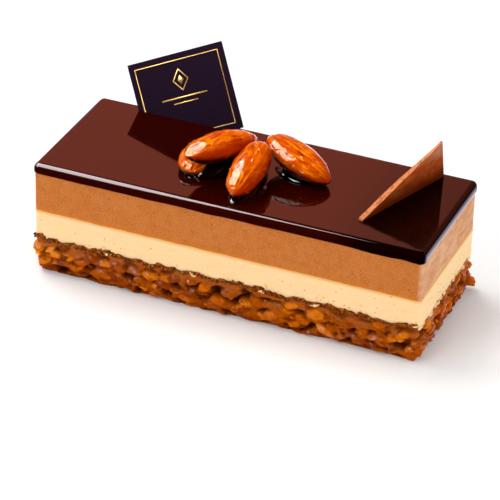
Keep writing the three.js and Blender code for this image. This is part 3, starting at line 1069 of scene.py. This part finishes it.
class CAKE_OT_praline(bpy.types.Operator):
    """Makes the craggy praline base with its nuts, scorched rim and crumbs"""

    bl_idname = "cake.praline"
    bl_label = "Praline base"

    def execute(self, context):
        sizes, colours = context.scene.cake_sizes, context.scene.cake_colours
        draws = np.random.default_rng(PRALINE_SEED)
        core = praline_core(sizes, draws)
        splinters = nut_splinters(core, sizes, draws)
        flakes, bits = rim_flakes(sizes, draws)
        crumbs = cream_crumbs(sizes, draws)
        fringe = cream_fringe(sizes, draws)
        settle(core, set_caramel(colours), "praline", "praline_base")
        settle(splinters, candied_nut(colours), "praline")
        bpy.ops.object.shade_smooth_by_angle(angle=SPLINTER_CREASE)
        settle(flakes, scorched_crust(colours), "praline")
        settle(crumbs, cream_crumb(colours), "praline")
        settle(bits, broken_nut(colours), "praline")
        settle(fringe, set_cream(colours), "cream")
        return {"FINISHED"}


# The layers above the praline: how far their colours reach in from an edge, and depths of their relief

CREAM_SEAM = 1.3 * MM
MOUSSE_SEAM = 0.9 * MM
PIT_DEPTH = 0.04 * MM
DRAG_DEPTH = 0.06 * MM
FROST_AND_SHEEN_REACH = 1.5 * MM


class CAKE_OT_cream(bpy.types.Operator):
    """Makes the pale cream layer, running down to the praline's ragged line"""

    bl_idname = "cake.cream"
    bl_label = "Cream layer"

    def execute(self, context):
        sizes, colours = context.scene.cake_sizes, context.scene.cake_colours
        low = Vector((-HALF_LENGTH, -HALF_WIDTH, sizes.base_height))
        cream = layer_block("cream", low, Vector((HALF_LENGTH, HALF_WIDTH, CREAM_HIGH.z)), sizes)
        points = read_points(cream)
        middle = (low.z + CREAM_HIGH.z) / 2
        line = ragged_line(sizes.base_height)(around(points))
        side = np.linalg.norm(outward(points), axis=1)
        lower = side * np.clip((middle - points[:, 2]) / (middle - low.z), 0, 1)
        upper = side * np.clip((points[:, 2] - middle) / (CREAM_HIGH.z - middle), 0, 1)
        points[:, 2] += lower * (line - sizes.base_height)
        points[:, 2] += upper * boundary_wander(points, sizes.boundary_wave)
        smear = relief(points, (9, 9, 1.1), 5) + 1.2 * relief(points, (14, 14, 5), 6)
        points[:, :2] += outward(points) * (sizes.smear_depth * smear)[:, None]
        write_points(cream, points)
        write_attribute(cream, "seam", 1 - ease(CREAM_HIGH.z - points[:, 2], 0, CREAM_SEAM))
        settle(cream, set_cream(colours), "cream", "cream_layer")
        return {"FINISHED"}


class CAKE_OT_mousse(bpy.types.Operator):
    """Makes the hazelnut mousse, finely pitted on its cut sides"""

    bl_idname = "cake.mousse"
    bl_label = "Hazelnut mousse"

    def execute(self, context):
        sizes, colours = context.scene.cake_sizes, context.scene.cake_colours
        mousse = layer_block("mousse", MOUSSE_LOW, MOUSSE_HIGH, sizes)
        points = read_points(mousse)
        side = np.linalg.norm(outward(points), axis=1)
        lower = side * np.clip((MOUSSE_HIGH.z - points[:, 2]) / (MOUSSE_HIGH.z - MOUSSE_LOW.z), 0, 1)
        points[:, 2] += lower * boundary_wander(points, sizes.boundary_wave)
        pits = relief(points, (1.5, 1.5, 1.2), 8)
        drag = relief(points, (16, 16, 3), 9)
        points[:, :2] += outward(points) * (PIT_DEPTH * pits + DRAG_DEPTH * drag)[:, None]
        write_points(mousse, points)
        # The right end gets a pale streaky film with painted sheen of grazing light
        write_attribute(mousse, "frost", ease(points[:, 0], HALF_LENGTH - FROST_AND_SHEEN_REACH, HALF_LENGTH))
        write_attribute(mousse, "seam", 1 - ease(points[:, 2], MOUSSE_LOW.z, MOUSSE_LOW.z + MOUSSE_SEAM))
        settle(mousse, nut_mousse(colours), "mousse", "hazelnut_mousse")
        return {"FINISHED"}


# The glaze: its mesh, its squared back edge, where it sags, and where the shard's painted shadow darkens it
GLAZE_STEP = 3 * MM
GLAZE_HOLD = 0.25 * MM
GLAZE_CORNER_STEPS = 16
GLAZE_EDGE_STEPS = 10
GLAZE_FOOT_STEPS = 3
BACK_EDGE_POWER = 5
SAG_EDGE = (-0.1, 0.6)
CORNER_SAG = 1.2
CORNER_SAG_REACH = (1 * MM, 9 * MM)
SHARD_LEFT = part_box("chocolate_shard")[0].x
SHARD_SHADOW_REACH = (SHARD_LEFT - 8 * MM, SHARD_LEFT + 6 * MM)


def glaze_block(sizes):
    """The glaze as a block with rounded corners, a rounded top edge and a turned-in foot."""
    glaze = rounded_block("glaze", GLAZE_LOW, GLAZE_HIGH, sizes.glaze_corner, GLAZE_CORNER_STEPS)
    near = 0.1 * (GLAZE_HIGH.z - GLAZE_LOW.z)
    pick(glaze, "edges", lambda edge: min(vert.co.z for vert in edge.verts) > GLAZE_HIGH.z - near)
    bpy.ops.mesh.bevel(offset=sizes.glaze_edge, segments=GLAZE_EDGE_STEPS, affect="EDGES")
    pick(glaze, "edges", lambda edge: max(vert.co.z for vert in edge.verts) < GLAZE_LOW.z + near)
    bpy.ops.mesh.bevel(offset=sizes.glaze_foot, segments=GLAZE_FOOT_STEPS, affect="EDGES")
    for axis, half in ((0, HALF_LENGTH), (1, HALF_WIDTH)):
        normal = Vector([float(axis == other) for other in range(3)])
        cuts = round(2 * half / GLAZE_STEP)
        places = [half * (2 * cut / cuts - 1) for cut in range(1, cuts)]
        held = GLAZE_HIGH[axis] - sizes.glaze_edge - GLAZE_HOLD
        for place in (*places, -held, held):
            bpy.ops.mesh.select_all(action="SELECT")
            bpy.ops.mesh.bisect(plane_co=normal * place, plane_no=normal)
    end_edit()
    return glaze


def square_back_edge(points, radius):
    """Squares the glaze's rounded back edge a little, where the poured glaze gathered."""
    centre = np.array([GLAZE_HIGH.y, GLAZE_HIGH.z]) - radius
    arc = np.clip(points[:, 1:] - centre, 0, None)
    squared = (arc ** BACK_EDGE_POWER).sum(axis=1) ** (1 / BACK_EDGE_POWER)
    on_edge = (arc > TOUCH).all(axis=1)
    arc[on_edge] *= (np.linalg.norm(arc, axis=1) / np.maximum(squared, TINY))[on_edge, None]
    points[on_edge, 1:] = centre + arc[on_edge]


class CAKE_OT_glaze(bpy.types.Operator):
    """Makes the poured chocolate glaze with its slow swell and sagging lower edge"""

    bl_idname = "cake.glaze"
    bl_label = "Chocolate glaze"

    def execute(self, context):
        sizes, colours = context.scene.cake_sizes, context.scene.cake_colours
        glaze = glaze_block(sizes)
        points = read_points(glaze)
        middle = (GLAZE_LOW.z + GLAZE_HIGH.z) / 2
        low_share = np.clip((middle - points[:, 2]) / (middle - GLAZE_LOW.z), 0, 1)
        level = points * (1, 1, 0)
        square_back_edge(points, sizes.glaze_edge)
        sag = ease(relief(level, (13, 13, LEVEL), 21), *SAG_EDGE)
        corner = np.linalg.norm(points[:, :2] - (GLAZE_HIGH.x, GLAZE_LOW.y), axis=1)
        sag = np.maximum(sag, CORNER_SAG * (1 - ease(corner, *CORNER_SAG_REACH)))
        swell = relief(level, (26, 26, LEVEL), 22) + 0.4 * relief(level, (7, 7, LEVEL), 23)
        points[:, 2] -= low_share * sag * sizes.glaze_sag
        points[:, 2] += (points[:, 2] > middle) * swell * sizes.glaze_wave
        write_points(glaze, points)
        # Painted shadow of the shard: the glaze darkens from just left of the shard to its right end
        write_attribute(glaze, "deep", ease(points[:, 0], *SHARD_SHADOW_REACH))
        settle(glaze, mirror_glaze(colours), "glaze", "chocolate_glaze")
        return {"FINISHED"}


# The toppings

def frame_of(node):
    """Centre of a solid, its own axes as columns from longest to shortest, and its sizes along them."""
    points = np.unique(np.round(read_points(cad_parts[node]), 7), axis=0)
    low, high = points.min(axis=0), points.max(axis=0)
    axes = np.linalg.svd(points - points.mean(axis=0), full_matrices=False)[2].T
    spans = (points - (low + high) / 2) @ axes
    centre = (low + high) / 2 + axes @ ((spans.min(axis=0) + spans.max(axis=0)) / 2)
    return centre, axes, np.ptp(spans, axis=0)


# The almonds: the way towards the light, with painted shade on the flanks turned from it, the flat flank of
# one, and how blunt their tips are
ALMONDS = ("almond_left", "almond_under", "almond_middle", "almond_right")
LIGHT_WAY = (-0.42, -0.05, 0.9)
FLANK_WAY = np.array([-0.06, -0.52, 0.85])
FLANK_DEPTHS = {"almond_left": 0.65 * MM}
FLANK_SOFTNESS = 0.1 * MM
TIP_FULLNESS = {"almond_left": 0, "almond_under": 0.3, "almond_middle": 0.3, "almond_right": 0.12}
TIP_START = 0.3
SEEDS_EACH = 5
ALMOND_LEVELS = 4

# The almonds' skin: its grain, where the ridges end, the caramel starts and the beads stand
GRAIN_LENGTH = 9 * MM
GRAIN_RADIUS = 2
RIDGE_ENDS = (0.36, 0.5)
COVER_EDGE = (-0.02, 0.07)
BEAD_EDGE = (0.4, 0.75)
RIDGE_FILL = 0.6
COVER_PAINT = 0.55
# Painted shade on the flanks that face away from the light, and on the undersides
FLANK_SHADE_PAINT = 0.9
FLANK_SHADE_EDGE = (-0.75, 0.1)
UNDERSIDE_SHADE_EDGE = (-0.2, 0.4)


def flat_flank(points, depth):
    """Takes a shallow flat off the side of an almond that faces up and to the front, with a soft edge."""
    reach = points @ FLANK_WAY
    over = reach - (reach.max() - depth)
    return points - np.outer(FLANK_SOFTNESS * np.logaddexp(0, over / FLANK_SOFTNESS), FLANK_WAY)


def fuller_tips(points, centre, axes, spans, fullness):
    """Thickens an almond towards its tips, which are blunt under their caramel."""
    own = (points - centre) @ axes
    reach = 2 * np.abs(own[:, 0]) / spans[0]
    own[:, 1:] *= 1 + fullness * ease(reach, TIP_START, 1)[:, None]
    return centre + own @ axes.T


def caramel_almond(node, sizes, seed):
    """One almond of the heap, smoothed, ridged along its length and lumpy with caramel."""
    almond = node_copy(node, "caramel_" + node)
    start_edit(almond, "FACE")
    bpy.ops.mesh.select_all(action="SELECT")
    bpy.ops.mesh.tris_convert_to_quads()
    end_edit()
    apply_modifier(almond, "SUBSURF", levels=ALMOND_LEVELS, render_levels=ALMOND_LEVELS)
    centre, axes, spans = frame_of(node)
    points = fuller_tips(read_points(almond), centre, axes, spans, TIP_FULLNESS[node])
    if node in FLANK_DEPTHS:
        points = flat_flank(points, FLANK_DEPTHS[node])
    write_points(almond, points)
    own = (points - centre) @ axes
    turn = np.arctan2(own[:, 2] / spans[2], own[:, 1] / spans[1])
    grain = np.stack(
        [own[:, 0] / GRAIN_LENGTH, GRAIN_RADIUS * np.cos(turn), GRAIN_RADIUS * np.sin(turn)], axis=1
    )
    ends = 1 - ease(np.abs(own[:, 0]) / spans[0], *RIDGE_ENDS)
    ridges = ripple(grain, (1.2, 0.6, 0.6), seed) + 0.5 * ripple(grain, (0.8, 0.25, 0.25), seed + 1)
    dents = relief(own, (7, 4, 4), seed + 2) + 0.4 * relief(own, (2.4, 1.8, 1.8), seed + 3)
    flow = relief(own, (7, 3.4, 3.4), seed + 4) + 0.4 * relief(own, (1.7, 1.7, 1.7), seed + 1)
    cover = ease(flow, *COVER_EDGE)
    beads = ease(relief(own, (2.2, 1.6, 1.6), seed + 6), *BEAD_EDGE)
    normals = np.empty(len(points) * 3, dtype=np.float32)
    almond.data.vertices.foreach_get("normal", normals)
    normals = normals.reshape(-1, 3)
    depth = sizes.almond_ridge * ends * ridges * (1 - RIDGE_FILL * cover) + sizes.almond_dent * dents
    depth += sizes.caramel_skin * cover + sizes.caramel_bead * beads
    write_points(almond, points + normals * depth[:, None])
    write_vectors(almond, "grain", grain + seed)
    write_attribute(almond, "cover", COVER_PAINT * cover)
    # Painted shade, darker on the flanks that face away from the light and on the undersides
    away = -normals @ np.array(LIGHT_WAY)
    write_attribute(almond, "low", FLANK_SHADE_PAINT * ease(away, *FLANK_SHADE_EDGE))
    write_attribute(almond, "under", ease(-normals[:, 2], *UNDERSIDE_SHADE_EDGE))
    return almond


class CAKE_OT_almonds(bpy.types.Operator):
    """Makes the heap of caramelised almonds"""

    bl_idname = "cake.almonds"
    bl_label = "Caramelised almonds"

    def execute(self, context):
        sizes, colours = context.scene.cake_sizes, context.scene.cake_colours
        finish = candied_almond(colours)
        for seed, node in enumerate(ALMONDS):
            settle(caramel_almond(node, sizes, SEEDS_EACH * seed), finish, "caramelised_almond", node)
        return {"FINISHED"}


# The syrup's pools: shares of each almond's length and width, and how far they rise round its foot, up under
# a raised almond as a dark fill of the shade there
POOL_SHARES = {
    "almond_left": (0.34, 0.4),
    "almond_under": (0.5, 0.28),
    "almond_middle": (0.5, 0.4),
    "almond_right": (0.34, 0.4),
}
POOL_RISE = 0.7 * MM
SYRUP_GRAIN = 0.35 * MM
SYRUP_SMOOTHING = 14
SYRUP_SPREAD = 0.06


class CAKE_OT_syrup(bpy.types.Operator):
    """Makes the dark caramel that ran down round the almonds' feet, which also fills the shade under them"""

    bl_idname = "cake.syrup"
    bl_label = "Caramel syrup"

    def execute(self, context):
        colours = context.scene.cake_colours
        deselect_all()
        pools = []
        for node in ALMONDS:
            centre, axes, spans = frame_of(node)
            heading = math.atan2(axes[1, 0], axes[0, 0])
            rise = centre[2] - spans[2] / 2 - GLAZE_HIGH.z
            long, wide = POOL_SHARES[node]
            reach = np.array([long * spans[0], wide * spans[1], max(POOL_RISE, rise + POOL_RISE)])
            bpy.ops.mesh.primitive_uv_sphere_add(
                segments=32, ring_count=16, radius=1, location=(centre[0], centre[1], GLAZE_HIGH.z),
                rotation=(0, 0, heading), scale=reach,
            )
            pools.append(bpy.context.object)
        syrup = join(pools[::-1])
        syrup.name = "syrup"
        bpy.ops.object.transform_apply(location=True, rotation=True, scale=True)
        remesh(syrup, SYRUP_GRAIN)
        apply_modifier(syrup, "SMOOTH", factor=0.5, iterations=SYRUP_SMOOTHING)
        points = read_points(syrup)
        level = points * (1, 1, 0)
        spread = 1 + SYRUP_SPREAD * relief(level, (6, 6, LEVEL), 41)
        middle = points[:, :2].mean(axis=0)
        points[:, :2] = middle + (points[:, :2] - middle) * spread[:, None]
        write_points(syrup, points)
        settle(syrup, dark_syrup(colours), "caramelised_almond")
        return {"FINISHED"}


# The shard: its height above the glaze, its relief, and the parts of that height with painted shade near the
# foot and a pale bloom with painted sheen up high
SHARD_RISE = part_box("chocolate_shard")[1].z - GLAZE_HIGH.z
SHARD_GRAIN = 0.15 * MM
CHIP_DEPTH = 0.2 * MM
FACE_RELIEF = 0.03 * MM
SNAP_EDGE = (0.5, 0.4)
THINNING = 0.6
THIN_BAND = (0.35 * SHARD_RISE, SHARD_RISE)
FOOT_SHADE_PAINT = 0.85
FOOT_SHADE_BAND = (0, 0.5 * SHARD_RISE)
BLOOM_AND_SHEEN_BAND = (0.5 * SHARD_RISE, 0.9 * SHARD_RISE)


class CAKE_OT_shard(bpy.types.Operator):
    """Makes the snapped shard of milk chocolate"""

    bl_idname = "cake.shard"
    bl_label = "Chocolate shard"

    def execute(self, context):
        colours = context.scene.cake_colours
        shard = node_copy("chocolate_shard", "shard")
        remesh(shard, SHARD_GRAIN)
        points = read_points(shard)
        chips = relief(points, (1.3, 1.3, 1.3), 51) + 0.5 * relief(points, (0.6, 0.6, 0.6), 52)
        centre, axes, spans = frame_of("chocolate_shard")
        across = axes[:, 2] * np.sign(axes[0, 2])
        depth = (points - centre) @ across / spans[2]
        on_edge = ease(np.abs(depth), *SNAP_EDGE)
        rise = points[:, 2] - GLAZE_HIGH.z
        points[:, 2] += CHIP_DEPTH * chips * on_edge
        thinning = THINNING * ease(rise, *THIN_BAND) * (0.5 - depth)
        points += np.outer(thinning * spans[2] + FACE_RELIEF * chips, across)
        write_points(shard, points)
        write_attribute(shard, "snap", on_edge)
        # Painted shade near the foot, and a pale bloom with painted sheen up high
        write_attribute(shard, "foot", FOOT_SHADE_PAINT * (1 - ease(rise, *FOOT_SHADE_BAND)))
        write_attribute(shard, "bloom", ease(rise, *BLOOM_AND_SHEEN_BAND))
        settle(shard, milk_chocolate(colours), "milk_chocolate", "chocolate_shard")
        return {"FINISHED"}


# The card: its rounded rim and crease, its foil, and where the plain lozenge and the lower rule stand
CARD_BEVEL = 0.12 * MM
CARD_BEVEL_STEPS = 3
CARD_CREASE = math.radians(40)
FOIL_LIFT = 0.01 * MM
FOIL_THICK = 0.03 * MM
UPRIGHT = math.pi / 4
ON_TIP = 0
FILLED = 0
LOZENGE_MIDDLE = 5.2 * MM
LOW_RULE_MIDDLE = -1.6 * MM


def card_matrix():
    """Place of the card: X along its width to the right, Y up its height, Z out of its front."""
    centre, axes, spans = frame_of("label_card")
    right, up, front = (Vector(axis) for axis in axes.T)
    right = right if right.x > 0 else -right
    up = up if up.z > 0 else -up
    front = front if front.y < 0 else -front
    return Matrix.Translation(centre) @ Matrix((right, up, front)).transposed().to_4x4(), spans


def foil_ring(half_width, half_height, turn, line, middle, level):
    """A flat four-sided mark of foil, filled or a line of some width, laid on the card."""
    bpy.ops.mesh.primitive_circle_add(vertices=4, radius=1, fill_type="NGON", rotation=(0, 0, turn))
    ring = bpy.context.object
    bpy.ops.object.transform_apply(location=False, rotation=True, scale=False)
    reach = read_points(ring).max(axis=0)
    ring.scale = (half_width / reach[0], half_height / reach[1], 1)
    ring.location = (0, middle, level)
    bpy.ops.object.transform_apply(location=True, rotation=False, scale=True)
    if line:
        start_edit(ring, "FACE")
        bpy.ops.mesh.select_all(action="SELECT")
        bpy.ops.mesh.inset(thickness=line)
        bpy.ops.mesh.delete(type="FACE")
        end_edit()
    return ring


class CAKE_OT_card(bpy.types.Operator):
    """Makes the dark card with its gold line and plain ornament"""

    bl_idname = "cake.card"
    bl_label = "Card"

    def execute(self, context):
        sizes, colours = context.scene.cake_sizes, context.scene.cake_colours
        place, spans = card_matrix()
        half_width, half_height, half_thick = (float(span) / 2 for span in spans)
        deselect_all()
        bpy.ops.mesh.primitive_cube_add(size=1, scale=[float(span) for span in spans])
        card = bpy.context.object
        card.name = "card"
        bpy.ops.object.transform_apply(location=False, rotation=False, scale=True)
        apply_modifier(card, "BEVEL", width=CARD_BEVEL, segments=CARD_BEVEL_STEPS)
        put(card, place)
        level = half_thick + FOIL_LIFT
        border = sizes.card_border
        # Half width, half height, turn, width of the line and height of the middle of each mark
        marks = (
            (half_width - border, half_height - border, UPRIGHT, sizes.foil_width, 0),
            (2.6 * MM, 3.4 * MM, ON_TIP, sizes.foil_width, LOZENGE_MIDDLE),
            (1.0 * MM, 1.4 * MM, ON_TIP, FILLED, LOZENGE_MIDDLE),
            (7.5 * MM, 0.2 * MM, UPRIGHT, FILLED, 0),
            (4.0 * MM, 0.15 * MM, UPRIGHT, FILLED, LOW_RULE_MIDDLE),
        )
        foils = [foil_ring(*mark, level) for mark in marks]
        foil = join(foils)
        foil.name = "card_foil"
        apply_modifier(foil, "SOLIDIFY", thickness=FOIL_THICK, offset=1)
        put(foil, place)
        settle(card, coated_card(colours), "card", "label_card")
        settle(foil, gold_foil(colours), "card")
        foil.visible_glossy = False
        make_active(card)
        bpy.ops.object.shade_smooth_by_angle(angle=CARD_CREASE)
        return {"FINISHED"}


# The stage

CAMERA_AIM = Vector((0.88, -4.5, 12.54)) * MM
CAMERA_DISTANCE = 0.8338
CAMERA_AZIMUTH = math.radians(22.16)
CAMERA_ELEVATION = math.radians(31.09)
CAMERA_ROLL = math.radians(1.546)
CAMERA_LENS = 205.5
SENSOR = 36.0
NEAREST = 0.02
FARTHEST = 50
FLOOR_SIZE = 12

# What the polished surfaces mirror, by direction: an axis, where a ramp along it starts and ends, and
# its strength there. The first four make the warm wall, and the last two the pale panel.
SURROUNDINGS = {
    "rise": ("Z", 0.05, 0.52, 0.2, 2.42),
    "fall": ("Z", 0.575, 0.65, 1.0, 0.05),
    "back": ("Y", -0.2, 0.2, 0.12, 1.0),
    "left": ("X", -0.2, -0.3, 0.35, 1.0),
    "low": ("Z", 0.05, -0.05, 0.0, 2.8),
    "behind": ("Y", 0.1, 0.5, 0.0, 1.0),
}
PALE_LIGHT = 0.6

# Soft lights: the first three light the cake's body alone, and the last two are seen in its shine alone
LIGHTS = {
    "Key light": dict(
        way=(-0.5, 0.15, 0.85), distance=1.1, width=0.7, height=0.6, power=6.8, glossy=False
    ),
    "Front light": dict(
        way=(-0.5, -1, 0.75), distance=1.2, width=0.8, height=0.6, power=4.35, glossy=False
    ),
    "Right light": dict(
        way=(1, -0.1, 0.5), distance=1.2, width=0.8, height=0.6, power=4.0, glossy=False
    ),
    "Softbox shine": dict(
        way=(-0.62, -0.13, 0.83), distance=0.3, width=0.245, height=0.245, power=7.2, diffuse=False,
        roll=math.pi / 4,
    ),
    "Front glint": dict(
        way=(-0.66, -0.62, 0.42), distance=0.8, width=0.06, height=0.06, power=3.0, diffuse=False
    ),
}


def place_camera():
    data = bpy.data.cameras.new("Camera")
    data.lens = CAMERA_LENS
    data.sensor_width = SENSOR
    data.clip_start = NEAREST
    data.clip_end = FARTHEST
    camera = bpy.data.objects.new("Camera", data)
    bpy.context.scene.collection.objects.link(camera)
    level = math.cos(CAMERA_ELEVATION)
    back = Vector((
        math.sin(CAMERA_AZIMUTH) * level, -math.cos(CAMERA_AZIMUTH) * level, math.sin(CAMERA_ELEVATION)
    ))
    turn = back.to_track_quat("Z", "Y").to_matrix() @ Matrix.Rotation(CAMERA_ROLL, 3, "Z")
    camera.matrix_world = Matrix.Translation(CAMERA_AIM + back * CAMERA_DISTANCE) @ turn.to_4x4()
    bpy.context.scene.camera = camera


def soft_light(name, way, distance, width, height, power, glossy=True, diffuse=True, roll=0.0):
    """A soft light that faces the cake from a direction, seen by the cake's shine, its body or both."""
    data = bpy.data.lights.new(name, "AREA")
    data.shape = "RECTANGLE"
    data.size = width
    data.size_y = height
    data.energy = power
    light = bpy.data.objects.new(name, data)
    bpy.context.scene.collection.objects.link(light)
    way = Vector(way).normalized()
    turn = way.to_track_quat("Z", "Y").to_matrix() @ Matrix.Rotation(roll, 3, "Z")
    light.matrix_world = Matrix.Translation(way * distance) @ turn.to_4x4()
    light.visible_camera = False
    light.visible_glossy = glossy
    light.visible_diffuse = diffuse


def studio_world(colours):
    """Pale light from all round for the cake's body, and warm surroundings for its polished surfaces."""
    world = bpy.data.worlds.new("Pale studio")
    world.use_nodes = True
    tree = world.node_tree
    tree.nodes.clear()
    pale = add_node(tree, "ShaderNodeBackground", {"Color": (1, 1, 1, 1), "Strength": PALE_LIGHT})
    way = add_node(tree, "ShaderNodeTexCoord").outputs["Generated"]
    along = add_node(tree, "ShaderNodeSeparateXYZ", links={"Vector": way})
    share = {}
    for name, (axis, start, end, least, most) in SURROUNDINGS.items():
        values = {"From Min": start, "From Max": end, "To Min": least, "To Max": most}
        ramp = add_node(tree, "ShaderNodeMapRange", values, {"Value": along.outputs[axis]})
        share[name] = ramp.outputs[0]
    wall = share_of(tree, ((share["rise"], share["fall"]), (share["back"], share["left"])))
    warm = add_node(tree, "ShaderNodeBackground", {"Color": colours.warm}, {"Strength": wall})
    ground = share_of(tree, (share["low"], share["behind"]))
    panel = add_node(tree, "ShaderNodeBackground", {"Color": colours.panel}, {"Strength": ground})
    mirrored = add_node(tree, "ShaderNodeAddShader", links={0: warm.outputs[0], 1: panel.outputs[0]})
    path = add_node(tree, "ShaderNodeLightPath")
    mixed = add_node(
        tree, "ShaderNodeMixShader",
        links={0: path.outputs["Is Glossy Ray"], 1: pale.outputs[0], 2: mirrored.outputs[0]},
    )
    add_node(tree, "ShaderNodeOutputWorld", links={"Surface": mixed.outputs[0]})
    bpy.context.scene.world = world


class CAKE_OT_stage(bpy.types.Operator):
    """Sets the pale floor, the soft lights and the camera"""

    bl_idname = "cake.stage"
    bl_label = "Studio stage"

    def execute(self, context):
        colours = context.scene.cake_colours
        deselect_all()
        bpy.ops.mesh.primitive_plane_add(size=FLOOR_SIZE)
        floor = context.object
        floor.name = "studio_floor"
        floor.data.materials.append(white_floor(colours))
        floor.visible_glossy = False
        studio_world(colours)
        for name, settings in LIGHTS.items():
            soft_light(name, **settings)
        place_camera()
        context.scene.view_settings.view_transform = "Standard"
        return {"FINISHED"}


class CAKE_PT_panel(bpy.types.Panel):
    """Lists the steps that dress the cake"""

    bl_idname = "CAKE_PT_panel"
    bl_label = "Mousse cake slice"
    bl_space_type = "VIEW_3D"
    bl_region_type = "UI"
    bl_category = "Cake"

    def draw(self, context):
        for step in STEPS:
            self.layout.operator(step.bl_idname)


STEPS = (
    CAKE_OT_stage,
    CAKE_OT_praline,
    CAKE_OT_cream,
    CAKE_OT_mousse,
    CAKE_OT_glaze,
    CAKE_OT_almonds,
    CAKE_OT_syrup,
    CAKE_OT_shard,
    CAKE_OT_card,
)
CLASSES = (CakeSizes, CakeColours, *STEPS, CAKE_PT_panel)


def register():
    for made in CLASSES:
        bpy.utils.register_class(made)
    bpy.types.Scene.cake_sizes = PointerProperty(type=CakeSizes)
    bpy.types.Scene.cake_colours = PointerProperty(type=CakeColours)


def unregister():
    del bpy.types.Scene.cake_colours
    del bpy.types.Scene.cake_sizes
    for made in reversed(CLASSES):
        bpy.utils.unregister_class(made)


def main():
    register()
    bpy.ops.cake.stage()
    bpy.ops.cake.praline()
    bpy.ops.cake.cream()
    bpy.ops.cake.mousse()
    bpy.ops.cake.glaze()
    bpy.ops.cake.almonds()
    bpy.ops.cake.syrup()
    bpy.ops.cake.shard()
    bpy.ops.cake.card()


if __name__ == "__main__":
    main()
